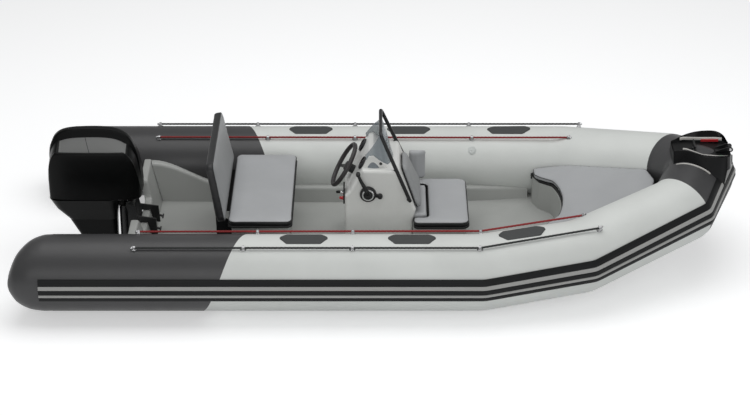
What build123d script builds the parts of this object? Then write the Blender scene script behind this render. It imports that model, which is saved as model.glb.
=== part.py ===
"""Rigid inflatable boat, open cockpit, single outboard, about five and a half metres long.

Millimetres. +X to the bow, +Y to port, +Z up. The origin is on the waterline, on the centreline,
near amidships. Each node is one STEP file. Pieces that move are drawn at rest: lids closed, the
engine down and straight ahead.
"""
import math
import os

from build123d import *

OUT = "parts"

# ---------------------------------------------------------------- driving dimensions
TUBE_R = 280.0                # radius of the straight air tubes
TUBE_Y = 960.0                # tube axis from the centreline
TUBE_Z = 310.0                # tube axis above the waterline
STERN_X = -2370.0             # where the tubes end and the stern cones begin
COLOUR_X = -1022.0            # border between dark and light fabric, on top of the tube
COLOUR_SLANT = 0.5625         # how far the border runs aft for each unit outboard

FLOOR_Z = 30.0                # top of the cockpit sole, just above the waterline
FLOOR_Y = 605.0               # half width of the sole
FLOOR_END = 1420.0            # front of the sole, under the bow locker
LEDGE_Z = 230.0               # top of the side ledges, where they meet the tubes
LEDGE_RISE_X = -1150.0        # the ledges climb to the transom's height aft of here
TRANSOM_X = -1700.0           # transom's inner face at the height of the sole
TRANSOM_LEAN = math.tan(math.radians(14.0))   # top leans aft
TRANSOM_T = 62.0
TRANSOM_TOP = 440.0
WELL_HALF = 300.0             # half width of the cut for the engine
WELL_TOP = 290.0

GAP = 1.0                     # glue line between curved neighbours of one body
CLEAR = 8.0                   # air between moving pieces

# Tube knots, port side. Columns: x, y, z of the axis, radius
KNOTS = [
    (STERN_X, TUBE_Y, TUBE_Z, TUBE_R),
    (750.0, TUBE_Y, TUBE_Z, TUBE_R),
    (1489.0, 834.0, 376.5, 270.0),
    (2255.0, 422.0, 539.0, 250.0),
    (2384.0, 0.0, 570.0, 240.0),
]

# Stern cone. Columns: x, inboard y, outboard y, half height
CONE = [
    (STERN_X, 680.0, 1240.0, 280.0),
    (-2450.0, 695.0, 1240.0, 277.0),
    (-2540.0, 757.0, 1236.0, 248.0),
    (-2620.0, 871.0, 1216.0, 180.0),
    (-2665.0, 1000.0, 1182.0, 90.0),
    (-2678.0, 1080.0, 1160.0, 36.0),
]

# Hull bottom. Columns: x, keel z, chine y, chine z, inner step y, top z
HULL = [
    (-1860.0, -255.0, 780.0, 25.0, 662.0, 0.0),
    (-600.0, -255.0, 800.0, 35.0, 662.0, 0.0),
    (600.0, -245.0, 795.0, 50.0, 662.0, 0.0),
    (1250.0, -205.0, 735.0, 100.0, 640.0, 0.0),
    (1750.0, -110.0, 560.0, 190.0, 420.0, 60.0),
    (2100.0, 40.0, 360.0, 285.0, 240.0, 180.0),
    (2330.0, 205.0, 160.0, 335.0, 90.0, 290.0),
    (2400.0, 290.0, 60.0, 345.0, 30.0, 320.0),
]

STRAKE_TOP, STRAKE_LOW = 53.0, 113.0          # degrees round the tube from its top, outboard
STRAKE_T = 12.0
STRAKE_TAIL = 75.0            # how far the strake runs on over the stern cone
STRIPES = [(69.0, 77.0), (90.0, 96.0)]        # degrees, light ribs along the strake
STRIPE_T = 4.0

PATCH_X = [-539.0, 246.0, 1070.0]
PATCH_L, PATCH_W, PATCH_T = 347.0, 147.0, 4.0


# ---------------------------------------------------------------- small helpers
def save(name, *shapes):
    """Write one node."""
    solids = [s for shape in shapes for s in shape.solids()]
    export_step(solids[0] if len(solids) == 1 else Compound(solids), f"{OUT}/{name}.step")


def flip(shape):
    """The same piece on the starboard side."""
    return mirror(shape, about=Plane.XZ)


def pair(name, shape):
    save(f"{name}_port", shape)
    save(f"{name}_starboard", flip(shape))


def prism_y(points, low, high):
    """Profile in X and Z, extruded from y = low to y = high."""
    face = make_face(Polyline(*[(x, low, z) for x, z in points], close=True))
    return extrude(face, amount=high - low, dir=(0, 1, 0))


def prism_z(points, low, high):
    """Plan in X and Y, extruded from z = low to z = high."""
    face = make_face(Polyline(*[(x, y, low) for x, y in points], close=True))
    return extrude(face, amount=high - low, dir=(0, 0, 1))


def rod(a, b, r):
    """A round bar from a to b."""
    a, b = Vector(*a), Vector(*b)
    return extrude(Plane(origin=a, z_dir=b - a) * Circle(r), amount=(b - a).length)


def box(x0, x1, y0, y1, z0, z1):
    return Pos((x0 + x1) / 2, (y0 + y1) / 2, (z0 + z1) / 2) * Box(x1 - x0, y1 - y0, z1 - z0)


# ---------------------------------------------------------------- tube geometry
def knot_planes():
    """A mitre plane, its horizontal stretch and its radius at each knot."""
    points = [Vector(*k[:3]) for k in KNOTS]
    runs = [(b - a).normalized() for a, b in zip(points, points[1:])]
    last = Vector(-runs[-1].X, runs[-1].Y, -runs[-1].Z)
    frames = []
    for i, point in enumerate(points):
        before = runs[max(i - 1, 0)]
        after = runs[i] if i < len(runs) else last
        normal = (before + after).normalized()
        across = normal.cross(Vector(0, 0, 1)).normalized()
        stretch = 1 / max(before.dot(normal), 0.5)
        frames.append((Plane(origin=point, x_dir=-across, z_dir=normal), stretch, KNOTS[i][3]))
    return frames


FRAMES = knot_planes()


def ring(i, grow=0.0):
    plane, stretch, r = FRAMES[i]
    if stretch < 1.0001:
        return plane * Circle(r + grow)
    return plane * Ellipse((r + grow) * stretch, r + grow)


def tube(first, last, grow=0.0):
    """The port tube from one knot to another."""
    runs = [loft([ring(i, grow), ring(i + 1, grow)], ruled=True) for i in range(first, last)]
    whole = runs[0]
    for run in runs[1:]:
        whole += run
    return whole


def on_ring(i, degrees, out):
    """A point at an angle from the top of the tube, outboard positive, and out from its skin."""
    plane, stretch, r = FRAMES[i]
    a = math.radians(degrees)
    return plane.from_local_coords(((r + out) * stretch * math.sin(a), (r + out) * math.cos(a), 0))


def band_section(i, top, low, inner, outer):
    """Cross-section of a strip laid round part of the tube."""
    mid = (top + low) / 2
    outside = ThreePointArc(*[on_ring(i, a, outer) for a in (top, mid, low)])
    inside = ThreePointArc(*[on_ring(i, a, inner) for a in (low, mid, top)])
    return make_face([outside, Line(outside @ 1, inside @ 0), inside, Line(inside @ 1, outside @ 0)])


def band(first, last, top, low, inner, outer):
    runs = [
        loft([band_section(i, top, low, inner, outer) for i in (j, j + 1)], ruled=True)
        for j in range(first, last)
    ]
    whole = runs[0]
    for run in runs[1:]:
        whole += run
    return whole


def axis_at(x):
    """Point of the port tube's axis at x, its radius, and its heading in plan."""
    for (x0, y0, z0, r0), (x1, y1, z1, r1) in zip(KNOTS, KNOTS[1:]):
        if x <= x1:
            t = (x - x0) / (x1 - x0)
            heading = math.degrees(math.atan2(y1 - y0, x1 - x0))
            return Vector(x, y0 + t * (y1 - y0), z0 + t * (z1 - z0)), r0 + t * (r1 - r0), heading
    raise ValueError("x is past the bow")


TUBE_KEEPOUT = tube(0, 4, GAP)
BOTH_KEEPOUT = TUBE_KEEPOUT + flip(TUBE_KEEPOUT)
BOW_BAND = band(3, 4, STRAKE_TOP - 2, STRAKE_LOW + 2, 0, STRAKE_T + STRIPE_T + 2)
BOW_KEEPOUT = BOTH_KEEPOUT + BOW_BAND + flip(BOW_BAND)


def make_tubes():
    border = Plane(origin=(COLOUR_X, TUBE_Y, 0), z_dir=(1, COLOUR_SLANT, 0))
    side = tube(0, 3)
    pair("tube_main", split(side, bisect_by=border, keep=Keep.TOP))
    pair("tube_aft", split(side, bisect_by=border, keep=Keep.BOTTOM))
    bow = tube(3, 4)
    save("tube_bow", bow + flip(bow))
    rings = [
        Plane(origin=(x, (inb + outb) / 2, TUBE_Z), x_dir=(0, 1, 0), z_dir=(1, 0, 0))
        * Ellipse(max((outb - inb) / 2, half), min((outb - inb) / 2, half),
                  rotation=0 if outb - inb >= 2 * half else 90)
        for x, inb, outb, half in CONE
    ]
    pair("stern_cone", loft(rings))


def long_band(top, low, inner, outer):
    """A strip along the whole tube that runs on straight over the stern cone."""
    tail = extrude(band_section(0, top, low, inner, outer), amount=STRAKE_TAIL, dir=(-1, 0, 0))
    return band(0, 4, top, low, inner, outer) + tail


def make_strakes():
    """The rubbing strake runs from one stern round the bow to the other, with two raised ribs."""
    half = long_band(STRAKE_TOP, STRAKE_LOW, 2.0, STRAKE_T)
    save("rub_strake", half + flip(half))
    ribs = [long_band(top, low, STRAKE_T + 0.5, STRAKE_T + STRIPE_T) for top, low in STRIPES]
    save("rub_stripes", *[rib + flip(rib) for rib in ribs])


def make_patches():
    solids = []
    skin = tube(0, 3, PATCH_T) - tube(0, 3, GAP)
    for x in PATCH_X:
        centre, _, heading = axis_at(x)
        half, nose = PATCH_L / 2, PATCH_L / 2 - PATCH_W / 3
        plan = [(-half, 0), (-nose, -PATCH_W / 2), (nose, -PATCH_W / 2), (half, 0),
                (nose, PATCH_W / 2), (-nose, PATCH_W / 2)]
        hexagon = Pos(x, centre.Y, 0) * Rot(0, 0, heading) * prism_z(plan, TUBE_Z + 100, TUBE_Z + 500)
        solids += (skin & hexagon).solids()
    save("wear_patches", *solids, *[flip(s) for s in solids])


# Lifelines, port side. Columns: name, rope height points (x, y, z), eye x positions
LINES = [
    ("lifeline_outer", [(-1760, 1089, 578), (735, 1089, 578), (1611, 920, 654)], (-972, -185, 735)),
    ("lifeline_inner", [(-1750, 832, 579), (750, 822, 579), (1510, 688, 641)], (-880, -184, 750)),
]
ROPE_R = 5.0


def make_lifelines():
    for name, route, eyes in LINES:
        start, bend, end = [Vector(*point) for point in route]
        whole = rod(start, bend, ROPE_R) + rod(bend, end, ROPE_R) + Pos(bend) * Sphere(ROPE_R)
        spots = [start, end] + [start + (bend - start) * ((x - start.X) / (bend.X - start.X)) for x in eyes]
        for spot in spots:
            whole += Pos(spot) * Pos(0, 0, -10) * Box(26, 16, 44)
            whole += Pos(spot) * Pos(0, 0, -22) * Box(56, 34, 20)
        line = whole - TUBE_KEEPOUT
        save(name, line, flip(line))


# ---------------------------------------------------------------- hull, sole, liner, transom
def transom_plane(out=0.0):
    """The transom's inner face, moved aft by out."""
    return Plane(origin=(TRANSOM_X - out, 0, FLOOR_Z), z_dir=(1, 0, TRANSOM_LEAN))


def hull_section(x, keel, chine_y, chine_z, step_y, top):
    half = [(chine_y, chine_z), (chine_y - 12, chine_z + 50), (step_y, chine_z + 50), (step_y, top)]
    outline = [(0, keel)] + half + [(-y, z) for y, z in reversed(half)]
    return make_face(Polyline(*[(x, y, z) for y, z in outline], close=True))


def make_hull():
    hull = loft([hull_section(*row) for row in HULL], ruled=True)
    hull = split(hull, bisect_by=transom_plane(), keep=Keep.TOP) - BOTH_KEEPOUT
    save("hull_shell", hull)
    return hull


def make_sole():
    front = (1150.0, FLOOR_Y)
    plan = [(TRANSOM_X - 60, -FLOOR_Y + 1), (front[0], -front[1] + 1), (FLOOR_END, -520),
            (FLOOR_END, 520), (front[0], front[1] - 1), (TRANSOM_X - 60, FLOOR_Y - 1)]
    sole = split(prism_z(plan, 0.5, FLOOR_Z), bisect_by=transom_plane(-GAP), keep=Keep.TOP)
    save("cockpit_sole", sole)
    return sole


def make_liners():
    section = [(605, 0.5), (605, FLOOR_Z), (637, LEDGE_Z), (650, TRANSOM_TOP), (800, TRANSOM_TOP),
               (775, 90), (661, 90), (661, 0.5)]
    face = make_face(Polyline(*[(-1950, y, z) for y, z in section], close=True))
    liner = extrude(face, amount=1950 + 1195, dir=(1, 0, 0))
    above = [(1300, LEDGE_Z), (LEDGE_RISE_X, LEDGE_Z), (-1800, TRANSOM_TOP - 4), (-2000, TRANSOM_TOP - 4),
             (-2000, 700), (1300, 700)]
    liner -= prism_y(above, 500, 900)
    liner = split(liner, bisect_by=transom_plane(-GAP), keep=Keep.TOP)
    liner -= TUBE_KEEPOUT + hull_keepout()
    liner = max(liner.solids(), key=lambda s: s.volume)
    pair("side_liner", liner)


def hull_keepout():
    """The hull's outline, half a millimetre fuller at the chines."""
    rows = [(x, keel, y, z + 0.5, step, top) for x, keel, y, z, step, top in HULL]
    return loft([hull_section(*row) for row in rows], ruled=True)


def make_transom():
    half = [(778, 25), (766, 75), (766, TRANSOM_TOP), (WELL_HALF + 40, TRANSOM_TOP), (WELL_HALF, WELL_TOP)]
    outline = [(0, -255)] + half + [(-y, z) for y, z in reversed(half)]
    face = make_face(Polyline(*[(-1400, y, z) for y, z in outline], close=True))
    slab = extrude(face, amount=700, dir=(-1, 0, 0))
    slab = split(slab, bisect_by=transom_plane(GAP), keep=Keep.BOTTOM)
    slab = split(slab, bisect_by=transom_plane(TRANSOM_T), keep=Keep.TOP)
    slab -= BOTH_KEEPOUT
    slab = max(slab.solids(), key=lambda s: s.volume)
    save("transom", slab)


# ---------------------------------------------------------------- lid hinges
KNUCKLE_R = 6.0
KNUCKLE_L = 16.0
KNUCKLE_GAP = 0.5             # between the fixed knuckle and its neighbours
HINGE_DROP = KNUCKLE_R + 2.0  # hinge axis below the lid's board and in front of the wall


def hinge_pair(x, z, y, facing, rise=HINGE_DROP + 0.5, reach=3.0):
    """Knuckles of two hinges on one axis, at y to each side: the fixed ones with a leaf to the wall,
    and the lid's with a leaf up to its board. facing is 1 if the wall is on the +X side."""
    half, end = KNUCKLE_L / 2, 1.5 * KNUCKLE_L + KNUCKLE_GAP
    leaf = sorted((x, x + facing * (HINGE_DROP + 0.5)))
    fixed, moving = Part(), Part()
    for centre in (y, -y):
        fixed += rod((x, centre - half, z), (x, centre + half, z), KNUCKLE_R)
        fixed += box(*leaf, centre - half, centre + half, z - KNUCKLE_R, z - KNUCKLE_R + 3)
        for side in (1, -1):
            y0, y1 = sorted((centre + side * (half + KNUCKLE_GAP), centre + side * end))
            moving += rod((x, y0, z), (x, y1, z), KNUCKLE_R)
            moving += box(x - 3, x + 3, y0, y1, z, z + rise)
            moving += box(x, x + reach, y0, y1, z + rise - 8, z + rise)
    return fixed, moving


# ---------------------------------------------------------------- bow locker and its lid
LID_SLOPE = 0.206             # the bow cushion climbs forward
LID_TOP_X, LID_TOP_Z = 1300.0, 445.0
CUSHION_T = 45.0
BOARD_T = 16.0
BOW_HINGE = (1214.0, 358.0)   # x, z of the bow lid's hinge axis, along its aft edge


def lid_plane(down=0.0):
    """Top of the bow cushion, moved down."""
    return Plane(origin=(LID_TOP_X, 0, LID_TOP_Z - down), z_dir=(-LID_SLOPE, 0, 1))


def bow_plan(inset=0.0):
    """Plan of the bow locker's top: a hollow curve aft, tapering forward between the tubes."""
    i = inset
    arc_mid, arc_in, arc_out, corner = (1402 + i, 0), (1352 + i, 300), (1262 + i, 410), (1222 + i, 520)
    sides = [(1222 + i, 598 - i), (1489, 548 - i), (2085 - i, 232 - i)]
    nose = (2130 - i, 0)
    edges = [
        ThreePointArc((arc_in[0], -arc_in[1], 0), (*arc_mid, 0), (*arc_in, 0)),
        Line((*arc_in, 0), (*arc_out, 0)),
        Line((*arc_out, 0), (*corner, 0)),
        Line((*corner, 0), (*sides[0], 0)),
        Line((*sides[0], 0), (*sides[1], 0)),
        Line((*sides[1], 0), (*sides[2], 0)),
        Line((*sides[2], 0), (*nose, 0)),
    ]
    edges += [mirror(e, about=Plane.XZ) for e in edges[1:]]
    return make_face(edges)


def bow_slab(top, bottom, inset=0.0):
    slab = extrude(bow_plan(inset), amount=900, dir=(0, 0, 1))
    slab = split(slab, bisect_by=lid_plane(top), keep=Keep.BOTTOM)
    if bottom is not None:
        slab = split(slab, bisect_by=lid_plane(bottom), keep=Keep.TOP)
    return slab


def make_bow(hull, sole):
    roomy = tube(0, 4, CLEAR)
    both = roomy + flip(roomy)
    fixed, moving = hinge_pair(*BOW_HINGE, 558, 1, 22, 12.5)
    save("bow_cushion", bow_slab(0, CUSHION_T) - both)
    save("bow_lid_board", bow_slab(CUSHION_T + 0.5, CUSHION_T + BOARD_T, 4.0) - both + moving)
    body = bow_slab(CUSHION_T + BOARD_T + 2, None) - BOTH_KEEPOUT - sole - hull
    body -= prism_z([(1000, -700), (FLOOR_END, -700), (FLOOR_END, 700), (1000, 700)], -10, FLOOR_Z + 0.5)
    hold = prism_z([(1470, -210), (1960, -150), (1960, 150), (1470, 210)], 120, 900)
    body = max((body - hold).solids(), key=lambda s: s.volume)
    save("bow_locker", body + fixed)


# ---------------------------------------------------------------- seats
BENCH_X0, BENCH_X1 = -1118.0, -630.0
BENCH_HALF = 603.0
BENCH_TOP = 547.0
SEAT_X0, SEAT_X1 = 262.0, 697.0
SEAT_HALF = 398.0
SEAT_TOP = 435.0
LEAN_PAD = [(316.0, 463.0), (188.0, 788.0)]  # console backrest's lower and upper edge, x and z
SIDE_REST = [(262, 332), (300, 332), (374, 378), (374, 394), (262, 394)]     # plan of the port side rest
SIDE_REST_TOP = 680.0
WALL = 16.0


def hollow_box(x0, x1, half, z0, z1, wall=WALL):
    """An open-topped locker."""
    inside = box(x0 + wall, x1 - wall, -half + wall, half - wall, z0 + wall, z1 + 1)
    return box(x0, x1, -half, half, z0, z1) - inside


def pad(x0, x1, half, z0, z1, corner=40.0):
    plan = Pos((x0 + x1) / 2, 0, z0) * RectangleRounded(x1 - x0, 2 * half, corner)
    return extrude(plan, amount=z1 - z0)


def make_bench():
    base_top = BENCH_TOP - CUSHION_T - BOARD_T
    low = BENCH_TOP - CUSHION_T
    front = BENCH_X1 - 45
    fixed, moving = hinge_pair(front + HINGE_DROP, base_top - HINGE_DROP, 400, -1)
    base = hollow_box(BENCH_X0 + 25, front, BENCH_HALF - 60, FLOOR_Z + 0.5, base_top - 2)
    save("bench_base", base + fixed)
    save("bench_lid_board", pad(BENCH_X0 + 6, BENCH_X1 - 6, BENCH_HALF - 8, base_top, low - 0.5) + moving)
    save("bench_cushion", pad(BENCH_X0, BENCH_X1, BENCH_HALF, low, BENCH_TOP))


BACK_FOOT = (-1150.0, 505.0)  # middle of the bench backrest's lower edge, x and z
BACK_HEAD = (-1226.0, 925.0)
BACK_T = 52.0


def slant_pad(foot, head, thick, foot_half, head_half, corner):
    """A pad leaning between two points of the X Z plane, trapezoid from the front."""
    up = Vector(head[0] - foot[0], 0, head[1] - foot[1])
    height = up.length
    plane = Plane(origin=(foot[0], 0, foot[1]), x_dir=(0, 1, 0), z_dir=up.cross(Vector(0, 1, 0)) * -1)
    outline = Polyline((-foot_half, 0), (foot_half, 0), (head_half, height), (-head_half, height), close=True)
    face = make_face(outline)
    face = fillet(face.vertices(), corner)
    return extrude(plane * face, amount=thick / 2, both=True)


def make_backrest():
    save("bench_backrest", slant_pad(BACK_FOOT, BACK_HEAD, BACK_T, 590, 490, 50))
    # end plates: up the back of the bench box, then along the rear face of the backrest
    plate = [(-1205, 120), (-1093.5, 120), (-1093.5, 470), (-1150, 490), (-1181, 520), (-1222, 745),
             (-1250, 745), (-1215, 500)]
    arms = [prism_y(plate, side * 430 - 4, side * 430 + 4) for side in (1, -1)]
    keep = slant_pad(BACK_FOOT, BACK_HEAD, BACK_T + 1, 590, 490, 50)
    arms = [arm - keep for arm in arms]
    save("backrest_brackets", arms[0] + arms[1])


# ---------------------------------------------------------------- console and its seat
CONSOLE_HALF = 285.0
DASH = (-114.0, 818.0)        # middle of the instrument row, x and z
DASH_LEAN = 29.0              # degrees from upright, top forward
GAUGE_Y = 162.0
GAUGE_R = 52.0
WHEEL = (-258.0, 730.0)       # centre of the steering wheel's rim
WHEEL_R = 172.0
WHEEL_LEAN = 30.0
FRONT = [(162.0, 788.0), (285.0, 477.0)]     # slope of the console's front face


def make_console():
    body = prism_y([(-250, FLOOR_Z + 0.5), (-250, 600), (-213, 640), (-118, 812), (148, 806), FRONT[0],
                    FRONT[1], (262, 380), (262, FLOOR_Z + 0.5)], -CONSOLE_HALF, CONSOLE_HALF)
    hood = prism_y([(-213, 640), (-68, 900), (-35, 905), (75, 806), (75, 640)], -228, 228)
    body = fillet(body.edges().filter_by(Axis.Y, reverse=True).group_by(Axis.Y)[0], 22)
    body = fillet(body.edges().filter_by(Axis.Y, reverse=True).group_by(Axis.Y)[-1], 22)
    body = body + hood
    save("console", body)
    lean = math.radians(DASH_LEAN)
    out = Vector(-math.cos(lean), 0, math.sin(lean))
    gauges = []
    for y in (GAUGE_Y, -GAUGE_Y):
        face = Plane(origin=Vector(DASH[0], y, DASH[1]) + out * 0.5, z_dir=out)
        gauges += [extrude(face * Circle(GAUGE_R), amount=14)]
    save("gauges", *[g - body for g in gauges])
    make_screen(body)
    make_rail(body)
    panel = box(-263, -251, -262, -150, 520, 660)
    panel += rod((-262, -200, 590), (-318, -200, 600), 9) + rod((-262, -235, 560), (-292, -235, 562), 12)
    save("switch_panel", panel)
    make_throttle()
    make_wheel(body)
    return body


def make_screen(body):
    """A wrapped windscreen: a thin wall that leans aft, lower at its two ends."""
    def outline(z, long, wide, x, t):
        return Pos(x, 0, z) * (Ellipse(max(long, wide) - t, min(long, wide) - t, rotation=90))
    outer = loft([outline(806.5, 150, 240, -35, 0), outline(1065, 105, 175, -60, 0)])
    inner = loft([outline(806.5, 150, 240, -35, 5), outline(1065, 105, 175, -60, 5)])
    keep = prism_y([(-75, 780), (-95, 900), (-10, 1010), (25, 1065), (300, 1065), (300, 780)], -300, 300)
    screen = (outer - inner) & keep
    save("windscreen", screen - body)


RAIL_R = 14.0
RAIL_TOP = (20.0, 240.0, 1085.0)
RAIL_FOOT = (240.0, 308.0, 572.0)
RAIL_BEND = 45.0
RAIL_STAY = 0.54              # how far down the leg its stay to the console sits


def make_rail(body):
    """Grab rail: an inverted U round the windscreen, with hooked feet on the console's sides."""
    corners = []
    for side in (-1, 1):
        foot, top = Vector(*RAIL_FOOT), Vector(*RAIL_TOP)
        foot.Y, top.Y = side * foot.Y, side * top.Y
        corners.append((foot, top))
    (foot_a, top_a), (foot_b, top_b) = corners
    route = FilletPolyline(foot_a, top_a, top_b, foot_b, radius=RAIL_BEND)
    start = Plane(origin=route @ 0, z_dir=route % 0)
    rail = sweep(start * Circle(RAIL_R), path=route)
    for side, (foot, top) in zip((-1, 1), corners):
        rail += Pos(foot) * Sphere(RAIL_R)
        rail += rod(foot, foot + Vector(-28, -side * 58, -4), RAIL_R - 2)
        stay = top + (foot - top) * RAIL_STAY
        rail += rod(stay, (stay.X - 48, side * 240, stay.Z - 22), 9)
    save("grab_rail", rail - body)


def make_throttle():
    """Side-mount engine control on the starboard face of the console."""
    y = -CONSOLE_HALF
    base = rod((-75, y - 0.5, 620), (-75, y - 26, 620), 62) + rod((15, y - 0.5, 604), (15, y - 30, 604), 20)
    base += prism_y([(-75, 600), (15, 590), (15, 618), (-75, 640)], y - 20, y - 0.5)
    hub = rod((-75, y - 26, 620), (-75, y - 48, 620), 30)
    arm = prism_y([(-90, 625), (-62, 632), (-130, 790), (-158, 778)], y - 46, y - 32)
    knob = rod((-148, y - 20, 800), (-148, y - 70, 800), 17)
    save("throttle", base + hub + arm + knob)


def make_wheel(body):
    lean = math.radians(WHEEL_LEAN)
    axis = Vector(-math.cos(lean), 0, math.sin(lean))        # up the column, towards the helmsman
    centre = Vector(WHEEL[0], 0, WHEEL[1])
    plane = Plane(origin=centre, x_dir=(0, 1, 0), z_dir=axis)
    rim = plane * Torus(WHEEL_R, 14)
    hub_back = centre - axis * 42
    hub = extrude(Plane(origin=hub_back, z_dir=axis) * Circle(38), amount=34)
    wheel = rim + hub
    for turn in (90, 210, 330):
        a = math.radians(turn)
        tip = plane.from_local_coords((WHEEL_R * math.cos(a), WHEEL_R * math.sin(a), 0))
        root = plane.from_local_coords((22 * math.cos(a), 22 * math.sin(a), -22))
        wheel += rod(root, tip, 9)
    save("steering_wheel", wheel)
    column = extrude(Plane(origin=hub_back - axis * 6, z_dir=-axis) * Circle(34), amount=80)
    save("helm_bezel", column - body)


def make_console_seat(console):
    base_top = SEAT_TOP - CUSHION_T - BOARD_T
    front = SEAT_X1 - 25
    fixed, moving = hinge_pair(front + HINGE_DROP, base_top - HINGE_DROP, 240, -1)
    base = hollow_box(SEAT_X0 + 2, front, SEAT_HALF - 45, FLOOR_Z + 0.5, base_top - 2)
    save("console_seat_base", base + fixed)
    half = [(200, CONSOLE_HALF + 8), (352, CONSOLE_HALF + 8), (372, CONSOLE_HALF - 20)]
    notch = prism_z([(x, -y) for x, y in half] + half[::-1], 300, 500)
    low = SEAT_TOP - CUSHION_T
    board = pad(SEAT_X0 + 6, SEAT_X1 - 6, SEAT_HALF - 6, base_top, low - 0.5) - notch
    save("console_seat_lid_board", board + moving)
    save("console_seat_cushion", pad(SEAT_X0, SEAT_X1, SEAT_HALF, low, SEAT_TOP) - notch)
    save("console_backrest", slant_pad(*LEAN_PAD, 46, 262, 150, 50) - console)
    rest = prism_z(SIDE_REST, SEAT_TOP + 0.5, SIDE_REST_TOP)
    front_edge = rest.edges().filter_by(lambda e: e.center().Z > SIDE_REST_TOP - 1).sort_by(Axis.X)[-1]
    save("seat_side_rest", fillet(front_edge, 30))


# ---------------------------------------------------------------- bow step and deck fittings
STEP_RIM_Z = 844.0
STEP_TOP_Z = 885.0


def make_bow_step():
    """Moulded boarding step that saddles the bow tube: a crowned plate with a skirt."""
    half = [(2215, 0), (2240, 130), (2310, 326), (2420, 380), (2530, 392), (2640, 230), (2652, 0)]
    plan = half + [(x, -y) for x, y in reversed(half[1:-1])]
    plate = prism_z(plan, 640, STEP_TOP_Z)
    for side in (1, -1):
        cut = make_face(Polyline((2100, side * 165, STEP_TOP_Z), (2100, side * 420, STEP_RIM_Z - 6),
                                 (2100, side * 420, 950), (2100, side * 165, 950), close=True))
        plate -= extrude(cut, amount=700, dir=(1, 0, 0))
    plate -= BOW_KEEPOUT
    plate = max(plate.solids(), key=lambda s: s.volume)
    save("bow_step", plate)
    rails, lamps = [], []
    for side in (1, -1):
        pts = [(2325, side * 104), (2480, side * 160), (2622, side * 160)]
        z = STEP_TOP_Z + 8.5
        bar = rod((*pts[0], z), (*pts[1], z), 8) + rod((*pts[1], z), (*pts[2], z), 8)
        rails.append(bar + Pos(*pts[1], z) * Sphere(8))
        y0, y1 = sorted((side * 118, side * 130))
        lamps.append(box(2440, 2610, y0, y1, STEP_TOP_Z + 0.5, STEP_TOP_Z + 15))
    save("bow_step_rails", *rails)
    save("nav_light_port", lamps[0])
    save("nav_light_starboard", lamps[1])
    make_bow_fittings(STEP_TOP_Z + 0.5)


def make_bow_fittings(deck):
    """Anchor roller between two cheeks, and a mooring cleat, on the bow step."""
    roller = box(2560, 2630, -38, 38, deck, deck + 6)
    for y in (-38, 26):
        roller += box(2560, 2690, y, y + 12, deck, deck + 44)
    roller += rod((2668, -44, deck + 28), (2668, 44, deck + 28), 6)
    roller += rod((2668, -24, deck + 28), (2668, 24, deck + 28), 17)
    save("bow_roller", roller)
    cleat = rod((2400, -70, deck + 34), (2400, 70, deck + 34), 8)
    for y in (-24, 24):
        cleat += rod((2400, y, deck), (2400, y, deck + 34), 8)
    save("bow_cleat", cleat)


EYE_R = 14.0
EYE_T = 12.0


BOW_EYE = (2345.0, 0.0, 185.0)
STERN_EYE = (-1880.0, 560.0, 250.0)


def make_eyes(hull):
    """Towing plates with a round hole for a shackle: upright on the stem, level on the transom."""
    x, y, z = BOW_EYE
    outline = [(x - 90, z + 60), (x - 90, z - 60), (x + 10, z - 30), (x + 30, z), (x + 10, z + 45)]
    plate = prism_y(outline, y - EYE_T / 2, y + EYE_T / 2) - rod((x, y - EYE_T, z), (x, y + EYE_T, z), EYE_R)
    save("bow_eye", plate - hull)
    x, y, z = STERN_EYE
    outline = [(x - 28, y + 18), (x - 28, y - 18), (x + 90, y - 50), (x + 90, y + 50)]
    plate = prism_z(outline, z - EYE_T / 2, z + EYE_T / 2) - rod((x, y, z - EYE_T), (x, y, z + EYE_T), EYE_R)
    plate = split(plate, bisect_by=transom_plane(TRANSOM_T + GAP), keep=Keep.BOTTOM)
    save("stern_eyes", plate, flip(plate))


VALVE = (800.0, -48.0)        # x, and degrees inboard from the top of the tube


def make_valves():
    a = math.radians(VALVE[1])
    out = Vector(0, math.sin(a), math.cos(a))
    centre, radius, _ = axis_at(VALVE[0])
    spot = centre + out * (radius - 4)
    disc = extrude(Plane(origin=spot, z_dir=out) * Circle(31), amount=11) - TUBE_KEEPOUT
    disc = max(disc.solids(), key=lambda s: s.volume)
    save("valves", disc, flip(disc))


# ---------------------------------------------------------------- outboard engine
TILT_PIN = (-1890.0, 440.0)   # x, z of the tilt tube
STEER_X = -1950.0             # upright steering axis
PIN_R, PIN_FIT = 14.0, 0.05   # tilt and steering pins, and their running clearance
PROP_Z = -440.0
PROP_X = (-2440.0, -2352.0)
PROP_R = 172.0

# Engine cowl. Columns: z, aft x, front x, half width, corner radius
COWL = [
    (505.0, -2502.0, -1812.0, 172.0, 80.0),
    (700.0, -2500.0, -1806.0, 190.0, 90.0),
    (850.0, -2482.0, -1846.0, 178.0, 90.0),
    (945.0, -2440.0, -1925.0, 148.0, 80.0),
    (990.0, -2380.0, -2020.0, 105.0, 60.0),
]
# Lower cowl and leg. Columns: z, aft x, front x, half width, corner radius
LEG = [
    (504.0, -2502.0, -1975.0, 172.0, 75.0),
    (405.0, -2455.0, -1990.0, 130.0, 60.0),
    (300.0, -2370.0, -2004.0, 80.0, 45.0),
    (150.0, -2292.0, -2006.0, 62.0, 40.0),
    (-255.0, -2290.0, -2006.0, 52.0, 40.0),
]


def rounded_loft(rows, ruled=False):
    rings = [Pos((a + f) / 2, 0, z) * RectangleRounded(f - a, 2 * w, r) for z, a, f, w, r in rows]
    return loft(rings, ruled=ruled)


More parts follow.
